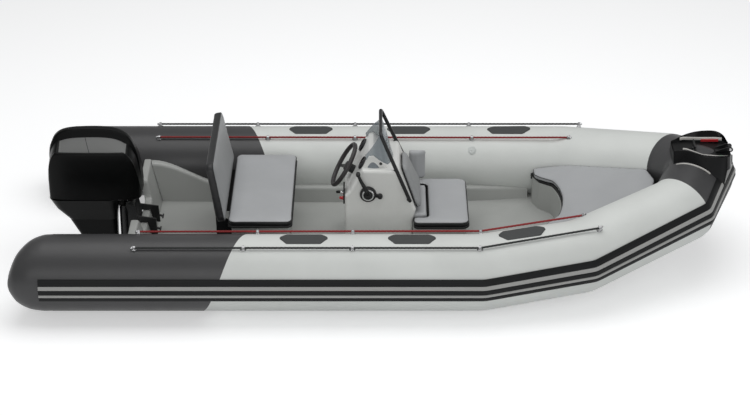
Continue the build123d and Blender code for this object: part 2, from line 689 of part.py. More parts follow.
def make_clamp():
    """Two clamp plates that hook over the transom, with the tilt pin between them."""
    x, z = TILT_PIN
    outline = [(-1690, 190), (-1737, 190), (-1764, 293), (-1832, 293), (-1776, 62), (-1842, 62), (-1916, 400),
               (-1926, 430), (-1922, 462), (-1900, 476), (-1868, 470), (-1838, 345), (-1700, 325)]
    clamp = prism_y(outline, 101, 115) + prism_y(outline, -115, -101)
    clamp += rod((x, -128, z), (x, 128, z), PIN_R)
    for y in (108, -108):
        clamp += rod((-1700, y, 245), (-1664, y, 236), 9) + rod((-1668, y - 30, 237), (-1668, y + 30, 237), 6)
    inside = split(clamp, bisect_by=transom_plane(-GAP), keep=Keep.TOP)
    outside = split(clamp, bisect_by=transom_plane(TRANSOM_T + GAP), keep=Keep.BOTTOM)
    bridge = clamp & box(-2000, -1600, -200, 200, WELL_TOP + 2, 600)
    save("clamp_brackets", inside + outside + bridge)


def make_swivel():
    """Swivel bracket: boss round the tilt pin, and the upright tube that the steering pin runs in."""
    x, z = TILT_PIN
    web = prism_y([(x + 26, z + 8), (x + 20, z - 22), (STEER_X + 20, 120), (STEER_X, 120), (STEER_X, 390),
                   (x - 22, 390), (x - 16, z + 20)], -26, 26)
    swivel = web + rod((x, -94, z), (x, 94, z), 30) + rod((STEER_X, 0, 66), (STEER_X, 0, 396), 38)
    swivel -= rod((x, -100, z), (x, 100, z), PIN_R + PIN_FIT)
    swivel -= rod((STEER_X, 0, 0), (STEER_X, 0, 500), PIN_R + PIN_FIT)
    save("swivel_bracket", swivel)


def make_engine():
    save("engine_cowl", rounded_loft(COWL))
    leg = rounded_loft(LEG, ruled=True)
    leg += box(-2100, STEER_X, -40, 40, 404, 440) + rod((STEER_X, 0, 404), (STEER_X, 0, 440), 24)
    leg += box(-2060, STEER_X, -36, 36, 26, 58) + rod((STEER_X, 0, 26), (STEER_X, 0, 58), 36)
    leg += rod((STEER_X, 0, 26), (STEER_X, 0, 430), PIN_R)
    save("engine_leg", leg)
    plate_plan = Pos(-2235, 0, -268) * RectangleRounded(470, 210, 60)
    plate = extrude(plate_plan, amount=12.5)
    strut = loft([Pos(-2148, 0, -268) * Ellipse(140, 46), Pos(-2150, 0, PROP_Z) * Ellipse(135, 40)])
    torpedo = rod((PROP_X[1] + 6, 0, PROP_Z), (-2050, 0, PROP_Z), 54)
    torpedo += Pos(-2050, 0, PROP_Z) * scale(Sphere(54), (1.1, 1, 1))
    skeg = prism_y([(-2290, PROP_Z - 30), (-2235, -615), (-2160, -615), (-2050, PROP_Z - 30)], -6, 6)
    case = plate + strut + torpedo + skeg
    case -= rod((PROP_X[1] - 40, 0, PROP_Z), (PROP_X[1] + 40, 0, PROP_Z), PIN_R + PIN_FIT)
    save("gearcase", case)


# Propeller blade. Columns: radius, chord, pitch angle in degrees, thickness
BLADE = [
    (40.0, 60.0, 62.0, 8.0),
    (95.0, 120.0, 40.0, 6.0),
    (150.0, 105.0, 28.0, 5.0),
    (PROP_R, 50.0, 24.0, 3.0),
]


def blade_section(r, chord, pitch, thick):
    turn = math.radians(pitch)
    plane = Plane(origin=(sum(PROP_X) / 2, 0, r), x_dir=(math.cos(turn), math.sin(turn), 0), z_dir=(0, 0, 1))
    back = ThreePointArc((-chord / 2, 0), (0, thick), (chord / 2, 0))
    face = ThreePointArc((chord / 2, 0), (0, -0.4 * thick), (-chord / 2, 0))
    return plane * make_face([back, face])


def make_propeller():
    hub = rod((PROP_X[0], 0, PROP_Z), (PROP_X[1] - 6, 0, PROP_Z), 48)
    hub += rod((PROP_X[1] - 10, 0, PROP_Z), (PROP_X[1] + 30, 0, PROP_Z), PIN_R)
    blade = loft([blade_section(*row) for row in BLADE])
    for k in range(3):
        hub += Pos(0, 0, PROP_Z) * Rot(120 * k, 0, 0) * blade
    save("propeller", hub)


# ---------------------------------------------------------------- main
def main():
    os.makedirs(OUT, exist_ok=True)
    make_tubes()
    make_strakes()
    make_patches()
    make_lifelines()
    hull = make_hull()
    sole = make_sole()
    make_liners()
    make_transom()
    make_bow(hull, sole)
    make_bench()
    make_backrest()
    console = make_console()
    make_console_seat(console)
    make_bow_step()
    make_eyes(hull)
    make_valves()
    make_clamp()
    make_swivel()
    make_engine()
    make_propeller()


main()
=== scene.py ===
# %% [markdown]
# # A rigid inflatable boat
# Two fat air tubes meet at the bow and carry a V hull between them. Inside stand a helm console, a
# bench, a bow locker and their cushions, and an outboard engine hangs on the transom. The packed
# model comes in first as a fixed frame. Every surface below is then laid over it in the same metres,
# so nothing has to be moved or scaled afterwards.

# %% Load the frame
import math

import bmesh
import bpy
import numpy as np
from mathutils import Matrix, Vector
from mathutils.bvhtree import BVHTree


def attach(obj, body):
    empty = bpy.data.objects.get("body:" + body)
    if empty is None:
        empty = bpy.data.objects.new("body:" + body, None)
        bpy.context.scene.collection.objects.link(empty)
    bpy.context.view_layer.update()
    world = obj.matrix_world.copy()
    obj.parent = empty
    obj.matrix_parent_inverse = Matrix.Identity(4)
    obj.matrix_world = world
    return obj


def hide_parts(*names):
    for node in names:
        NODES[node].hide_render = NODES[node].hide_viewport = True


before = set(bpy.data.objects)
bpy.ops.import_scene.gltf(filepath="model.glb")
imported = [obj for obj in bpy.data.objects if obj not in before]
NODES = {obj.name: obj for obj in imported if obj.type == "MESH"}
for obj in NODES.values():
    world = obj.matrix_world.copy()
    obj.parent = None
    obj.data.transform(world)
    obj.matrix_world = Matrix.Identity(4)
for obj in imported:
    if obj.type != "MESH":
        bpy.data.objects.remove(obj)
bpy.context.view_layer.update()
SCENE = bpy.context.scene

# %% [markdown]
# ## Camera, floor and light
# The boat floats, so the floor is the water's surface at height zero, pale and plain. The camera
# stands abeam and well above, far away with a long lens, because the two tubes look nearly parallel.
# Big soft lamps from above make the tops bright and let the flanks fall away gently, which is how
# round rubber tubes read as round.

# %% Camera
FRAME_W = 750.0                       # pixels across the picture
FOCAL_PX = 2175.0
SENSOR_MM = 36.0
CAMERA_AT = (0.0, -14.99, 7.80)
PITCH_DOWN = math.radians(26.4)
CENTRE_PX = 378.0                     # where the lens axis meets the picture, from its left edge

camera_data = bpy.data.cameras.new("camera")
camera_data.sensor_width = SENSOR_MM
camera_data.lens = FOCAL_PX / FRAME_W * SENSOR_MM
camera_data.shift_x = -(CENTRE_PX - FRAME_W / 2) / FRAME_W
camera_data.clip_end = 200.0
camera = bpy.data.objects.new("camera", camera_data)
camera.location = CAMERA_AT
camera.rotation_euler = (math.pi / 2 - PITCH_DOWN, 0.0, 0.0)
SCENE.collection.objects.link(camera)
SCENE.camera = camera
SCENE.view_settings.view_transform = "Standard"
print("lens", round(camera_data.lens, 1), "mm")


# %% [markdown]
# ## Shader maths written as plain expressions
# A finish is a formula over the surface. This small class wraps a node socket and overloads the
# arithmetic operators, so `1 - mask * 0.4` adds the Math nodes it needs. Colours go through Mix
# nodes, because a Math node would turn them grey.

# %% Sockets and materials
class Socket:
    """One output socket. Arithmetic on it adds Math nodes to its tree."""

    def __init__(self, paint, out):
        self.paint, self.out = paint, out

    def _math(self, operation, a, b=0.0):
        return self.paint.node("ShaderNodeMath", {"operation": operation}, {0: a, 1: b})

    def __add__(self, other):
        return self._math("ADD", self, other)

    def __sub__(self, other):
        return self._math("SUBTRACT", self, other)

    def __rsub__(self, other):
        return self._math("SUBTRACT", other, self)

    def __mul__(self, other):
        return self._math("MULTIPLY", self, other)

    def __gt__(self, other):
        return self._math("GREATER_THAN", self, other)

    def smooth(self, low, high):
        """0 below low, 1 above high, an eased step between."""
        return self.paint.node("ShaderNodeMapRange", {"interpolation_type": "SMOOTHSTEP"},
                               {"Value": self, "From Min": low, "From Max": high})

    def absolute(self):
        return self._math("ABSOLUTE", self)

    def sine(self):
        return self._math("SINE", self)

    def wave(self, pitch):
        """0 to 1 and back, once every pitch."""
        return (self * (2 * math.pi / pitch)).sine() * 0.5 + 0.5

    __radd__ = __add__
    __rmul__ = __mul__


class Paint:
    """A node material in the making."""

    def __init__(self, name):
        self.material = bpy.data.materials.new(name)
        self.material.use_nodes = True
        self.tree = self.material.node_tree
        self.shader = self.tree.nodes["Principled BSDF"]

    def node(self, kind, settings=None, values=None, output=0):
        """Adds a node, its settings first and then the values or links of its sockets."""
        made = self.tree.nodes.new(kind)
        for key, value in (settings or {}).items():
            setattr(made, key, value)
        for key, value in (values or {}).items():
            self.feed(made.inputs[key], value)
        return Socket(self, made.outputs[output])

    def feed(self, socket, value):
        """Links a socket to its value, or writes a plain number or colour into it."""
        if isinstance(value, Socket):
            self.tree.links.new(value.out, socket)
        else:
            socket.default_value = value

    def set(self, **values):
        """Sets the shader's own sockets: base_color becomes Base Color."""
        for key, value in values.items():
            self.feed(self.shader.inputs[key.replace("_", " ").title().replace("Ior", "IOR")], value)
        return self

    def apart(self, vector, count):
        """A vector with its first numbers beside it."""
        parts = self.tree.nodes.new("ShaderNodeSeparateXYZ")
        self.tree.links.new(vector.out, parts.inputs[0])
        return vector, [Socket(self, parts.outputs[i]) for i in range(count)]

    def place(self):
        """Object coordinates, as a vector and as its three numbers."""
        return self.apart(self.node("ShaderNodeTexCoord", output=3), 3)

    def along(self, name="UVMap"):
        """The piece's own surface coordinates, in metres along and across."""
        return self.apart(self.node("ShaderNodeUVMap", {"uv_map": name}), 2)

    def noise(self, vector, scale, detail, rough=0.5):
        """Cloudy numbers about 0.5, with scale clouds to a metre and detail finer ones inside them."""
        return self.node("ShaderNodeTexNoise", {}, {"Vector": vector, "Scale": scale, "Detail": detail,
                                                    "Roughness": rough})

    def cells(self, vector, scale):
        """Distance to the nearest of many scattered points."""
        return self.node("ShaderNodeTexVoronoi", {"feature": "F1"}, {"Vector": vector, "Scale": scale})

    def stretched(self, vector, times):
        """The same coordinates, each axis multiplied by its own number, which draws a pattern out."""
        return self.node("ShaderNodeVectorMath", {"operation": "MULTIPLY"}, {0: vector, 1: times})

    def mix(self, factor, a, b):
        """Colour a where factor is 0, colour b where it is 1."""
        made = self.tree.nodes.new("ShaderNodeMix")
        made.data_type = "RGBA"
        self.feed(made.inputs["Factor"], factor)
        for socket, value in ((made.inputs[6], a), (made.inputs[7], b)):
            self.feed(socket, value if isinstance(value, Socket) else (*value, 1.0))
        return Socket(self, made.outputs[2])

    def bump(self, height, depth, normal=None):
        """A bump whose height of 1 stands depth metres tall."""
        values = {"Height": height, "Distance": depth, "Strength": 1.0}
        if normal is not None:
            values["Normal"] = normal
        return self.node("ShaderNodeBump", {}, values)


def shade(r, g=None, b=None):
    """A colour seen as r, g, b from 0 to 255 under plain light, as linear numbers."""
    seen = np.array([r, r if g is None else g, r if b is None else b]) / 255.0
    linear = np.where(seen <= 0.04045, seen / 12.92, ((seen + 0.055) / 1.055) ** 2.4)
    return tuple(float(x) for x in linear)


def tint(colour, times, more=0.0):
    """The colour darker or lighter: each number times this much, and a little more."""
    return tuple(c * times + more for c in colour)


# %% Floor and backdrop
FLOOR_HALF = 60.0
WATERLINE = 0.0
FLOOR_GLOW = 0.42                     # lifts the floor to near white where only the eye sees it
WHITE = (1.0, 1.0, 1.0, 1.0)

floor_mesh = bpy.data.meshes.new("floor")
floor_mesh.from_pydata([(x * FLOOR_HALF, y * FLOOR_HALF, WATERLINE)
                        for x, y in ((-1, -1), (1, -1), (1, 1), (-1, 1))], [], [(0, 1, 2, 3)])
floor = bpy.data.objects.new("floor", floor_mesh)
SCENE.collection.objects.link(floor)


def floor_paint():
    """Pale to the light, and close to white to the camera, to gloss and through glass."""
    paint = Paint("floor_pale")
    path = paint.tree.nodes.new("ShaderNodeLightPath")
    seen, gloss, through = (Socket(paint, path.outputs[f"Is {ray} Ray"])
                            for ray in ("Camera", "Glossy", "Transmission"))
    paint.set(base_color=(*shade(236, 237, 238), 1.0), roughness=0.9, specular_ior_level=0.1)
    glow = paint.tree.nodes.new("ShaderNodeEmission")
    glow.inputs["Color"].default_value = WHITE
    glow.inputs["Strength"].default_value = FLOOR_GLOW
    both = paint.tree.nodes.new("ShaderNodeAddShader")
    paint.tree.links.new(paint.shader.outputs[0], both.inputs[0])
    paint.tree.links.new(glow.outputs[0], both.inputs[1])
    pick = paint.tree.nodes.new("ShaderNodeMixShader")
    paint.feed(pick.inputs[0], ((seen + gloss + through) > 0.5))
    paint.tree.links.new(paint.shader.outputs[0], pick.inputs[1])
    paint.tree.links.new(both.outputs[0], pick.inputs[2])
    out = paint.tree.nodes["Material Output"]
    paint.tree.links.new(pick.outputs[0], out.inputs["Surface"])
    return paint.material


floor_mesh.materials.append(floor_paint())

# %% Lamps
WORLD_LIGHT = 0.30                    # how much the sky gives to the boat
LAMP_AIM = Vector((0.0, 0.0, 0.3))    # the middle of the boat
LAMPS = [                             # name, place, size, watts
    ("top", (0.0, 0.5, 7.0), (9.0, 6.0), 295.0),
    ("near", (-0.5, -10.0, 4.4), (10.0, 4.0), 225.0),
    ("bow", (8.5, -2.0, 4.0), (5.0, 4.0), 50.0),
]

world = bpy.data.worlds.new("studio")
SCENE.world = world
world.use_nodes = True
sky_tree = world.node_tree
sky = sky_tree.nodes["Background"]
sky_path = sky_tree.nodes.new("ShaderNodeLightPath")
bright = sky_tree.nodes.new("ShaderNodeMath")
bright.operation = "MULTIPLY_ADD"
sky_tree.links.new(sky_path.outputs["Is Camera Ray"], bright.inputs[0])
bright.inputs[1].default_value = 1.0 - WORLD_LIGHT
bright.inputs[2].default_value = WORLD_LIGHT
sky_tree.links.new(bright.outputs[0], sky.inputs["Strength"])
sky.inputs["Color"].default_value = WHITE

for lamp_name, lamp_at, lamp_size, lamp_watts in LAMPS:
    lamp_data = bpy.data.lights.new(lamp_name, "AREA")
    lamp_data.shape = "RECTANGLE"
    lamp_data.size, lamp_data.size_y = lamp_size
    lamp_data.energy = lamp_watts
    lamp = bpy.data.objects.new(f"lamp_{lamp_name}", lamp_data)
    lamp.location = lamp_at
    aim = LAMP_AIM - Vector(lamp_at)
    lamp.rotation_euler = aim.to_track_quat("-Z", "Y").to_euler()
    SCENE.collection.objects.link(lamp)
print("lamps:", ", ".join(name for name, *_ in LAMPS))


# %% [markdown]
# ## Surfaces from grids of numbers
# Nearly every piece is a grid: one direction runs along the piece and the other runs round it. The
# whole grid is worked out at once with numpy, then handed to Blender as quads. A grid can close on
# itself in either direction, and its two ends can be closed by a flat cap.

# %% Grid helper
def in_scene(name, mesh):
    """A new object at the origin that shows this mesh."""
    mesh.update()
    made = bpy.data.objects.new(name, mesh)
    SCENE.collection.objects.link(made)
    return made


def read_points(mesh):
    """The mesh's points as an array with three columns."""
    co = np.empty(len(mesh.vertices) * 3)
    mesh.vertices.foreach_get("co", co)
    return co.reshape(-1, 3)


def write_points(mesh, points):
    mesh.vertices.foreach_set("co", np.asarray(points, float).ravel())
    mesh.update()


def write_uv(mesh, layer_name, pairs):
    """A UV map from one pair a point: each corner of a face takes its own point's pair."""
    layer = mesh.uv_layers.new(name=layer_name)
    loops = np.empty(len(mesh.loops), np.int32)
    mesh.loops.foreach_get("vertex_index", loops)
    layer.data.foreach_set("uv", np.asarray(pairs, np.float32).reshape(-1, 2)[loops].ravel())


def grid_faces(rows, columns, round_rows, round_columns):
    """Quads of a grid whose point (i, j) has the number i * columns + j."""
    i = np.arange(rows if round_rows else rows - 1)
    j = np.arange(columns if round_columns else columns - 1)
    i, j = np.meshgrid(i, j, indexing="ij")
    below, after = (i + 1) % rows, (j + 1) % columns
    quads = np.stack([i * columns + j, i * columns + after, below * columns + after,
                      below * columns + j], -1)
    return quads.reshape(-1, 4).tolist()


def outward(made):
    """Turns every face of a closed mesh outwards."""
    work = bmesh.new()
    work.from_mesh(made.data)
    bmesh.ops.recalc_face_normals(work, faces=work.faces)
    work.to_mesh(made.data)
    work.free()
    return made


def skin(name, grid, material, ring=True, loop=False):
    """A grid of points (rows, columns, 3) as a mesh. Each row is a ring if ring is true. Rings meet end
    to end if loop is true, and otherwise the first and the last one are closed by a cap. The UV map
    holds the mean distance along the rows and across them, in metres."""
    grid = np.asarray(grid, float)
    rows, columns = grid.shape[:2]
    faces = grid_faces(rows, columns, loop, ring)
    if ring and not loop:
        faces.append(list(range(columns))[::-1])
        faces.append([(rows - 1) * columns + j for j in range(columns)])
    mesh = bpy.data.meshes.new(name)
    mesh.from_pydata(grid.reshape(-1, 3).tolist(), [], faces)
    steps = (np.linalg.norm(np.diff(grid, axis=way), axis=2).mean(1 - way) for way in (0, 1))
    u, v = (np.concatenate([[0.0], np.cumsum(step)]) for step in steps)
    write_uv(mesh, "UVMap", np.stack(np.meshgrid(u, v, indexing="ij"), -1))
    mesh.polygons.foreach_set("use_smooth", [True] * len(mesh.polygons))
    if material is not None:
        mesh.materials.append(material)
    made = in_scene(name, mesh)
    return outward(made) if ring else made


def soften(made, degrees):
    """Smooth shading that keeps every edge sharper than degrees."""
    work = bmesh.new()
    work.from_mesh(made.data)
    limit = math.radians(degrees)
    for edge in work.edges:
        edge.smooth = len(edge.link_faces) == 2 and edge.calc_face_angle(0.0) < limit
    work.to_mesh(made.data)
    work.free()
    return made


def join(name, *parts):
    """Several meshes as one piece, with their materials kept."""
    points, faces, materials, picks, smooths, sharps, uvs = [], [], [], [], [], [], []
    start = 0
    for part in parts:
        mesh = part.data
        points.append(read_points(mesh))
        base = len(materials)
        materials += list(mesh.materials) or [None]
        loops = np.zeros(len(mesh.loops) * 2, np.float32)
        if mesh.uv_layers:
            mesh.uv_layers[0].data.foreach_get("uv", loops)
        uvs.append(loops)
        for face in mesh.polygons:
            faces.append([v + start for v in face.vertices])
            picks.append(face.material_index + base)
            smooths.append(face.use_smooth)
        sharps += [(e.vertices[0] + start, e.vertices[1] + start)
                   for e in mesh.edges if e.use_edge_sharp]
        start += len(mesh.vertices)
    mesh = bpy.data.meshes.new(name)
    mesh.from_pydata(np.concatenate(points).tolist(), [], faces)
    layer = mesh.uv_layers.new(name="UVMap")
    layer.data.foreach_set("uv", np.concatenate(uvs))
    for material in materials:
        mesh.materials.append(material)
    mesh.polygons.foreach_set("material_index", picks)
    mesh.polygons.foreach_set("use_smooth", smooths)
    if sharps:
        wanted = {tuple(sorted(pair)) for pair in sharps}
        for edge in mesh.edges:
            if tuple(sorted(edge.vertices)) in wanted:
                edge.use_edge_sharp = True
    made = in_scene(name, mesh)
    for part in parts:
        bpy.data.objects.remove(part)
    return made


def mirrored(made, name):
    """The same piece on the other side of the boat, with its faces turned back outwards."""
    mesh = made.data.copy()
    mesh.name = name
    write_points(mesh, read_points(mesh) * (1.0, -1.0, 1.0))
    mesh.flip_normals()
    return in_scene(name, mesh)


def fit(made, body, slot, *nodes):
    """The piece rides on a body and stands for these nodes, which are hidden. Its slot is not used."""
    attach(made, body)
    if nodes:
        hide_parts(*nodes)
    print(f"{made.name}: {len(made.data.polygons)} faces on {body}")
    return made


SIDES = ("port", "starboard")


def one_side(side_name, stem, ending, slot, make):
    """What make builds is drawn to port. To starboard its mirrored twin stands in its place."""
    node = f"{stem}_{side_name}"
    made = make(f"{node}_{ending}")
    if side_name == "starboard":
        twin = mirrored(made, f"{node}_twin")
        bpy.data.objects.remove(made)
        twin.name = f"{node}_{ending}"
        made = twin
    fit(made, "hull", slot, node)


def both_sides(*piece):
    """The same piece to port and to starboard."""
    for side_name in SIDES:
        one_side(side_name, *piece)


def with_twin(name, half):
    """A piece and its mirrored twin as one."""
    return join(name, half, mirrored(half, f"{name}_twin"))


# %% [markdown]
# Two more shapes come back all the time. A bar or a rope is a round section carried along a route.
# A board, a moulding or a casting is an outline with rounded corners, pushed through a depth, whose
# two rims are rounded too: near each end the outline shrinks as a quarter circle does.

# %% Bars and slabs
def unit(v):
    v = np.asarray(v, float)
    return v / np.maximum(np.linalg.norm(v, axis=-1, keepdims=True), 1e-12)


def square_to(v):
    """A direction square to v: its cross product with Z, or with X where v is nearly upright."""
    return unit(np.cross(v, (0.0, 0.0, 1.0) if abs(v[2]) < 0.9 else (1.0, 0.0, 0.0)))


def ring_round(turns, a, b):
    """Evenly spaced points of a unit circle in the plane of a and b."""
    angle = np.linspace(0, 2 * np.pi, turns, endpoint=False)
    return np.cos(angle)[:, None] * a + np.sin(angle)[:, None] * b


def run_length(points):
    """Distance walked from the first point to each point."""
    return np.concatenate([[0.0], np.cumsum(np.linalg.norm(np.diff(points, axis=0), axis=1))])


def frames_along(route, closed=False):
    """Tangent and two cross directions at each point, carried along without twisting."""
    route = np.asarray(route, float)
    if closed:
        tangent = unit(np.roll(route, -1, 0) - np.roll(route, 1, 0))
    else:
        tangent = unit(np.gradient(route, axis=0))
    side = square_to(tangent[0])
    sides = []
    for t in tangent:
        side = unit(side - t * np.dot(side, t))
        sides.append(side)
    sides = np.array(sides)
    return tangent, sides, np.cross(tangent, sides)


def tube_along(name, route, radius, material, turns, closed=False):
    """Circle of this radius, or of one radius for each point, carried along a route."""
    route = np.asarray(route, float)
    _, a, b = frames_along(route, closed)
    angle = np.linspace(0, 2 * np.pi, turns, endpoint=False)
    r = np.broadcast_to(np.asarray(radius, float), (len(route),))[:, None, None]
    grid = route[:, None] + r * (np.cos(angle)[None, :, None] * a[:, None]
                                 + np.sin(angle)[None, :, None] * b[:, None])
    return skin(name, grid, material, loop=closed)


def bent(points, radius, steps):
    """A route of straight runs whose corners are rounded: each corner becomes a parabola that starts
    and ends a radius away from it."""
    points = np.asarray(points, float)
    rows = [points[0]]
    for before, corner, after in zip(points, points[1:], points[2:]):
        a = corner + unit(before - corner) * min(radius, np.linalg.norm(before - corner) * 0.49)
        c = corner + unit(after - corner) * min(radius, np.linalg.norm(after - corner) * 0.49)
        t = np.linspace(0, 1, steps)[:, None]
        rows += list((1 - t) ** 2 * a + 2 * t * (1 - t) * corner + t ** 2 * c)
    rows.append(points[-1])
    return np.array(rows)


def rounded(outline, radius, steps=6):
    """A closed outline in two dimensions with round corners. radius is one number or one a corner.
    Each corner becomes an arc that touches both of its sides."""
    outline = np.asarray(outline, float)
    radii = np.broadcast_to(np.asarray(radius, float), (len(outline),))
    points = []
    for k, corner in enumerate(outline):
        before, after = outline[k - 1], outline[(k + 1) % len(outline)]
        a, c = unit(before - corner), unit(after - corner)
        half = math.acos(float(np.clip(np.dot(a, c), -1, 1))) / 2
        if radii[k] <= 0 or half > math.pi / 2 - 0.01:
            points.append(corner)
            continue
        reach = min(radii[k] / math.tan(half), 0.49 * np.linalg.norm(before - corner),
                    0.49 * np.linalg.norm(after - corner))
        r = reach * math.tan(half)
        centre = corner + unit(a + c) * (r / math.sin(half))
        first, last = corner + a * reach - centre, corner + c * reach - centre
        turn = math.atan2(first[0] * last[1] - first[1] * last[0], np.dot(first, last))
        for t in np.linspace(0, 1, steps):
            s, q = math.sin(turn * t), math.cos(turn * t)
            points.append(centre + (first[0] * q - first[1] * s, first[0] * s + first[1] * q))
    return np.array(points)


def shrink(outline, distance):
    """A closed outline moved inwards, each point along the mean of its two sides' normals."""
    before, after = np.roll(outline, 1, 0), np.roll(outline, -1, 0)
    a, c = unit(outline - before), unit(after - outline)
    area = np.sum(outline[:, 0] * after[:, 1] - after[:, 0] * outline[:, 1])
    turn = 1.0 if area > 0 else -1.0
    normal_a = np.stack([-a[:, 1], a[:, 0]], 1) * turn
    normal_c = np.stack([-c[:, 1], c[:, 0]], 1) * turn
    mean = unit(normal_a + normal_c)
    reach = distance / np.maximum(np.sum(mean * normal_a, 1), 0.5)
    return outline + mean * reach[:, None]


def slab(name, outline, low, high, edge, material, plane="xy", place=None, steps=4, sharp=40.0):
    """An outline pushed from low to high with rounded rims. plane says which axes the outline
    lies in; the third is the depth. place turns (x, y, z) arrays into their final spot."""
    outline = np.asarray(outline, float)
    curve = np.linspace(0, math.pi / 2, steps + 1)
    rings = [shrink(outline, edge * (1 - math.sin(t))) for t in curve]
    rings = np.array(rings + rings[::-1])
    depths = [low + edge * (1 - math.cos(t)) for t in curve]
    depths += [high - edge * (1 - math.cos(t)) for t in curve[::-1]]
    depth = np.broadcast_to(np.array(depths)[:, None], rings.shape[:2])
    order = {"xy": (rings[..., 0], rings[..., 1], depth), "xz": (rings[..., 0], depth, rings[..., 1]),
             "yz": (depth, rings[..., 0], rings[..., 1])}[plane]
    grid = np.stack(order, -1)
    if place is not None:
        grid = place(grid)
    made = skin(name, grid, material)
    return soften(made, sharp) if sharp else made


def oblong(x0, x1, y0, y1, radius, steps=6):
    """A rectangle with round corners."""
    return rounded([(x0, y0), (x1, y0), (x1, y1), (x0, y1)], radius, steps)


def disc(name, centre, axis, profile, material, turns, sharp=35.0):
    """A turned part: a profile of (radius, height along the axis) spun about the axis."""
    centre, axis = np.asarray(centre, float), unit(axis)
    a = square_to(axis)
    profile = np.asarray(profile, float)
    circle = ring_round(turns, a, np.cross(axis, a))
    grid = centre + profile[:, None, None, 0] * circle[None] + profile[:, None, None, 1] * axis
    made = skin(name, grid, material)
    return soften(made, sharp) if sharp else made


# %% [markdown]
# ## Finishes
# Each finish is one function, so its colour, grain and gloss can be read in one place. Colours are
# written as they look under plain light, save some painted light: the cockpit's gelcoat and sole are
# painted darker for the cockpit's shade, the console's gelcoat is a paler, lit copy of it, and the
# ropes, sole, grip and lamp lenses paint shade or highlights into their small relief. The grain is
# small and real: a weave under the tubes' coating, an orange-peel wave in the gelcoat, a pebble grain
# in the vinyl.

# %% Coated tube fabric
THREAD = 0.0022                       # metres from one thread of the cloth to the next


def tube_fabric(name, colour, shine=0.42):
    """Woven cloth under a thick rubber coating: two crossed waves, faint clouds, dull patches."""
    paint = Paint(name)
    vector, _ = paint.place()
    _, (u, v) = paint.along()
    cloud = paint.noise(vector, 2.2, 4.0)
    grime = paint.noise(vector, 9.0, 6.0, 0.65)
    weave = u.wave(THREAD) * 0.5 + v.wave(THREAD) * 0.5
    tone = paint.mix(cloud.smooth(0.3, 0.7), tint(colour, 0.955), tint(colour, 1.03))
    tone = paint.mix(grime.smooth(0.62, 0.9) * 0.12, tone, tint(colour, 0.8))
    paint.set(base_color=tone, roughness=grime * 0.16 + (shine - 0.08), specular_ior_level=0.4)
    soft = paint.bump(cloud, 0.0015)
    paint.set(normal=paint.bump(weave, 0.00006, soft))
    return paint.material


def moulded_rubber(name, colour, shine, ribs=0.0):
    """Solid rubber out of a mould: a fine mat grain, rubbed paler on its high places."""
    paint = Paint(name)
    vector, _ = paint.place()
    _, (u, v) = paint.along()
    grain = paint.noise(vector, 900.0, 2.0)
    rub = paint.noise(vector, 14.0, 5.0, 0.7)
    tone = paint.mix(rub.smooth(0.55, 0.85) * 0.35, colour, tint(colour, 1.25, 0.004))
    paint.set(base_color=tone, roughness=rub * 0.2 + (shine - 0.1), specular_ior_level=0.2)
    height = paint.bump(grain, 0.00008)
    if ribs:
        height = paint.bump(v.wave(ribs), 0.0012, height)
    paint.set(normal=height)
    return paint.material


# %% Colours of the tubes
TUBE_LIGHT = tube_fabric("tube_light", shade(216, 219, 216))
TUBE_DARK = tube_fabric("tube_dark", shade(67, 67, 68), 0.38)
STRAKE_BLACK = moulded_rubber("strake", shade(21, 22, 23), 0.5)
STRIPE_GREY = moulded_rubber("stripe", shade(170, 170, 168), 0.5)
PATCH_DARK = moulded_rubber("patch", shade(74, 76, 76), 0.62, ribs=0.014)
print("finishes:", len(bpy.data.materials))

# %% [markdown]
# ## The air tubes
# An air tube is cut from flat cloth in straight lengths and glued together at mitres, so it kinks
# where it turns, and only the cloth's stretch softens each kink. The grid copies that: a ring lies
# in the mitre plane at each knot, straight lines join ring to ring, and each line's corner is
# replaced by a short parabola. The same rings, a little larger, carry the rubbing strake later.

# %% Rings at the knots
TUBE_KNOTS = np.array([               # axis x, y, z and radius, port side, stern to bow
    (-2.370, 0.960, 0.3100, 0.280),
    (0.750, 0.960, 0.3100, 0.280),
    (1.489, 0.834, 0.3765, 0.270),
    (2.284, 0.375, 0.5400, 0.254),
    (2.453, 0.000, 0.6320, 0.240),
])
STERN, BEND_AFT, _, BEND_BOW, STEM = range(5)
KINK = 0.055                          # how far each side of a mitre its corner is softened
BEND_ROWS = 7                         # rings in a softened corner
RUN_STEP = 0.12                       # metres between rings on a straight run
ROUND = 96                            # points round a tube


def knot_frames():
    """The mitre plane at each knot halves the angle between the run before and the run after it.
    side lies level in that plane, and the ring is stretched along it so that the runs stay round."""
    centres, radii = TUBE_KNOTS[:, :3], TUBE_KNOTS[:, 3]
    runs = unit(np.diff(centres, axis=0))
    before = np.vstack([runs[:1], runs])
    after = np.vstack([runs, runs[-1:] * (-1, 1, -1)])
    normal = unit(before + after)
    side = -unit(np.cross(normal, (0, 0, 1)))
    up = np.cross(normal, side)
    stretch = 1 / np.maximum(np.sum(before * normal, 1), 0.5)
    return centres, radii, stretch, side, up


CENTRES, RADII, STRETCH, SIDE, UP = knot_frames()


def knot_rings(angle, out):
    """Points at these angles from the tube's top (radians, outboard positive) and this far out from
    its skin: one row for each knot, and then the knots of the other side back to the stern."""
    r = RADII[:, None] + np.broadcast_to(out, angle.shape)
    rings = (CENTRES[:, None] + (r * STRETCH[:, None] * np.sin(angle))[..., None] * SIDE[:, None]
             + (r * np.cos(angle))[..., None] * UP[:, None])
    return np.concatenate([rings, rings[:-1][::-1] * (1, -1, 1)])


def straight_run(start, stop):
    """Rings after start, evenly spaced, up to and with stop."""
    runs = max(2, int(np.linalg.norm((stop - start).mean(0)) / RUN_STEP))
    return [start + (stop - start) * t for t in np.linspace(0, 1, runs + 1)[1:]]


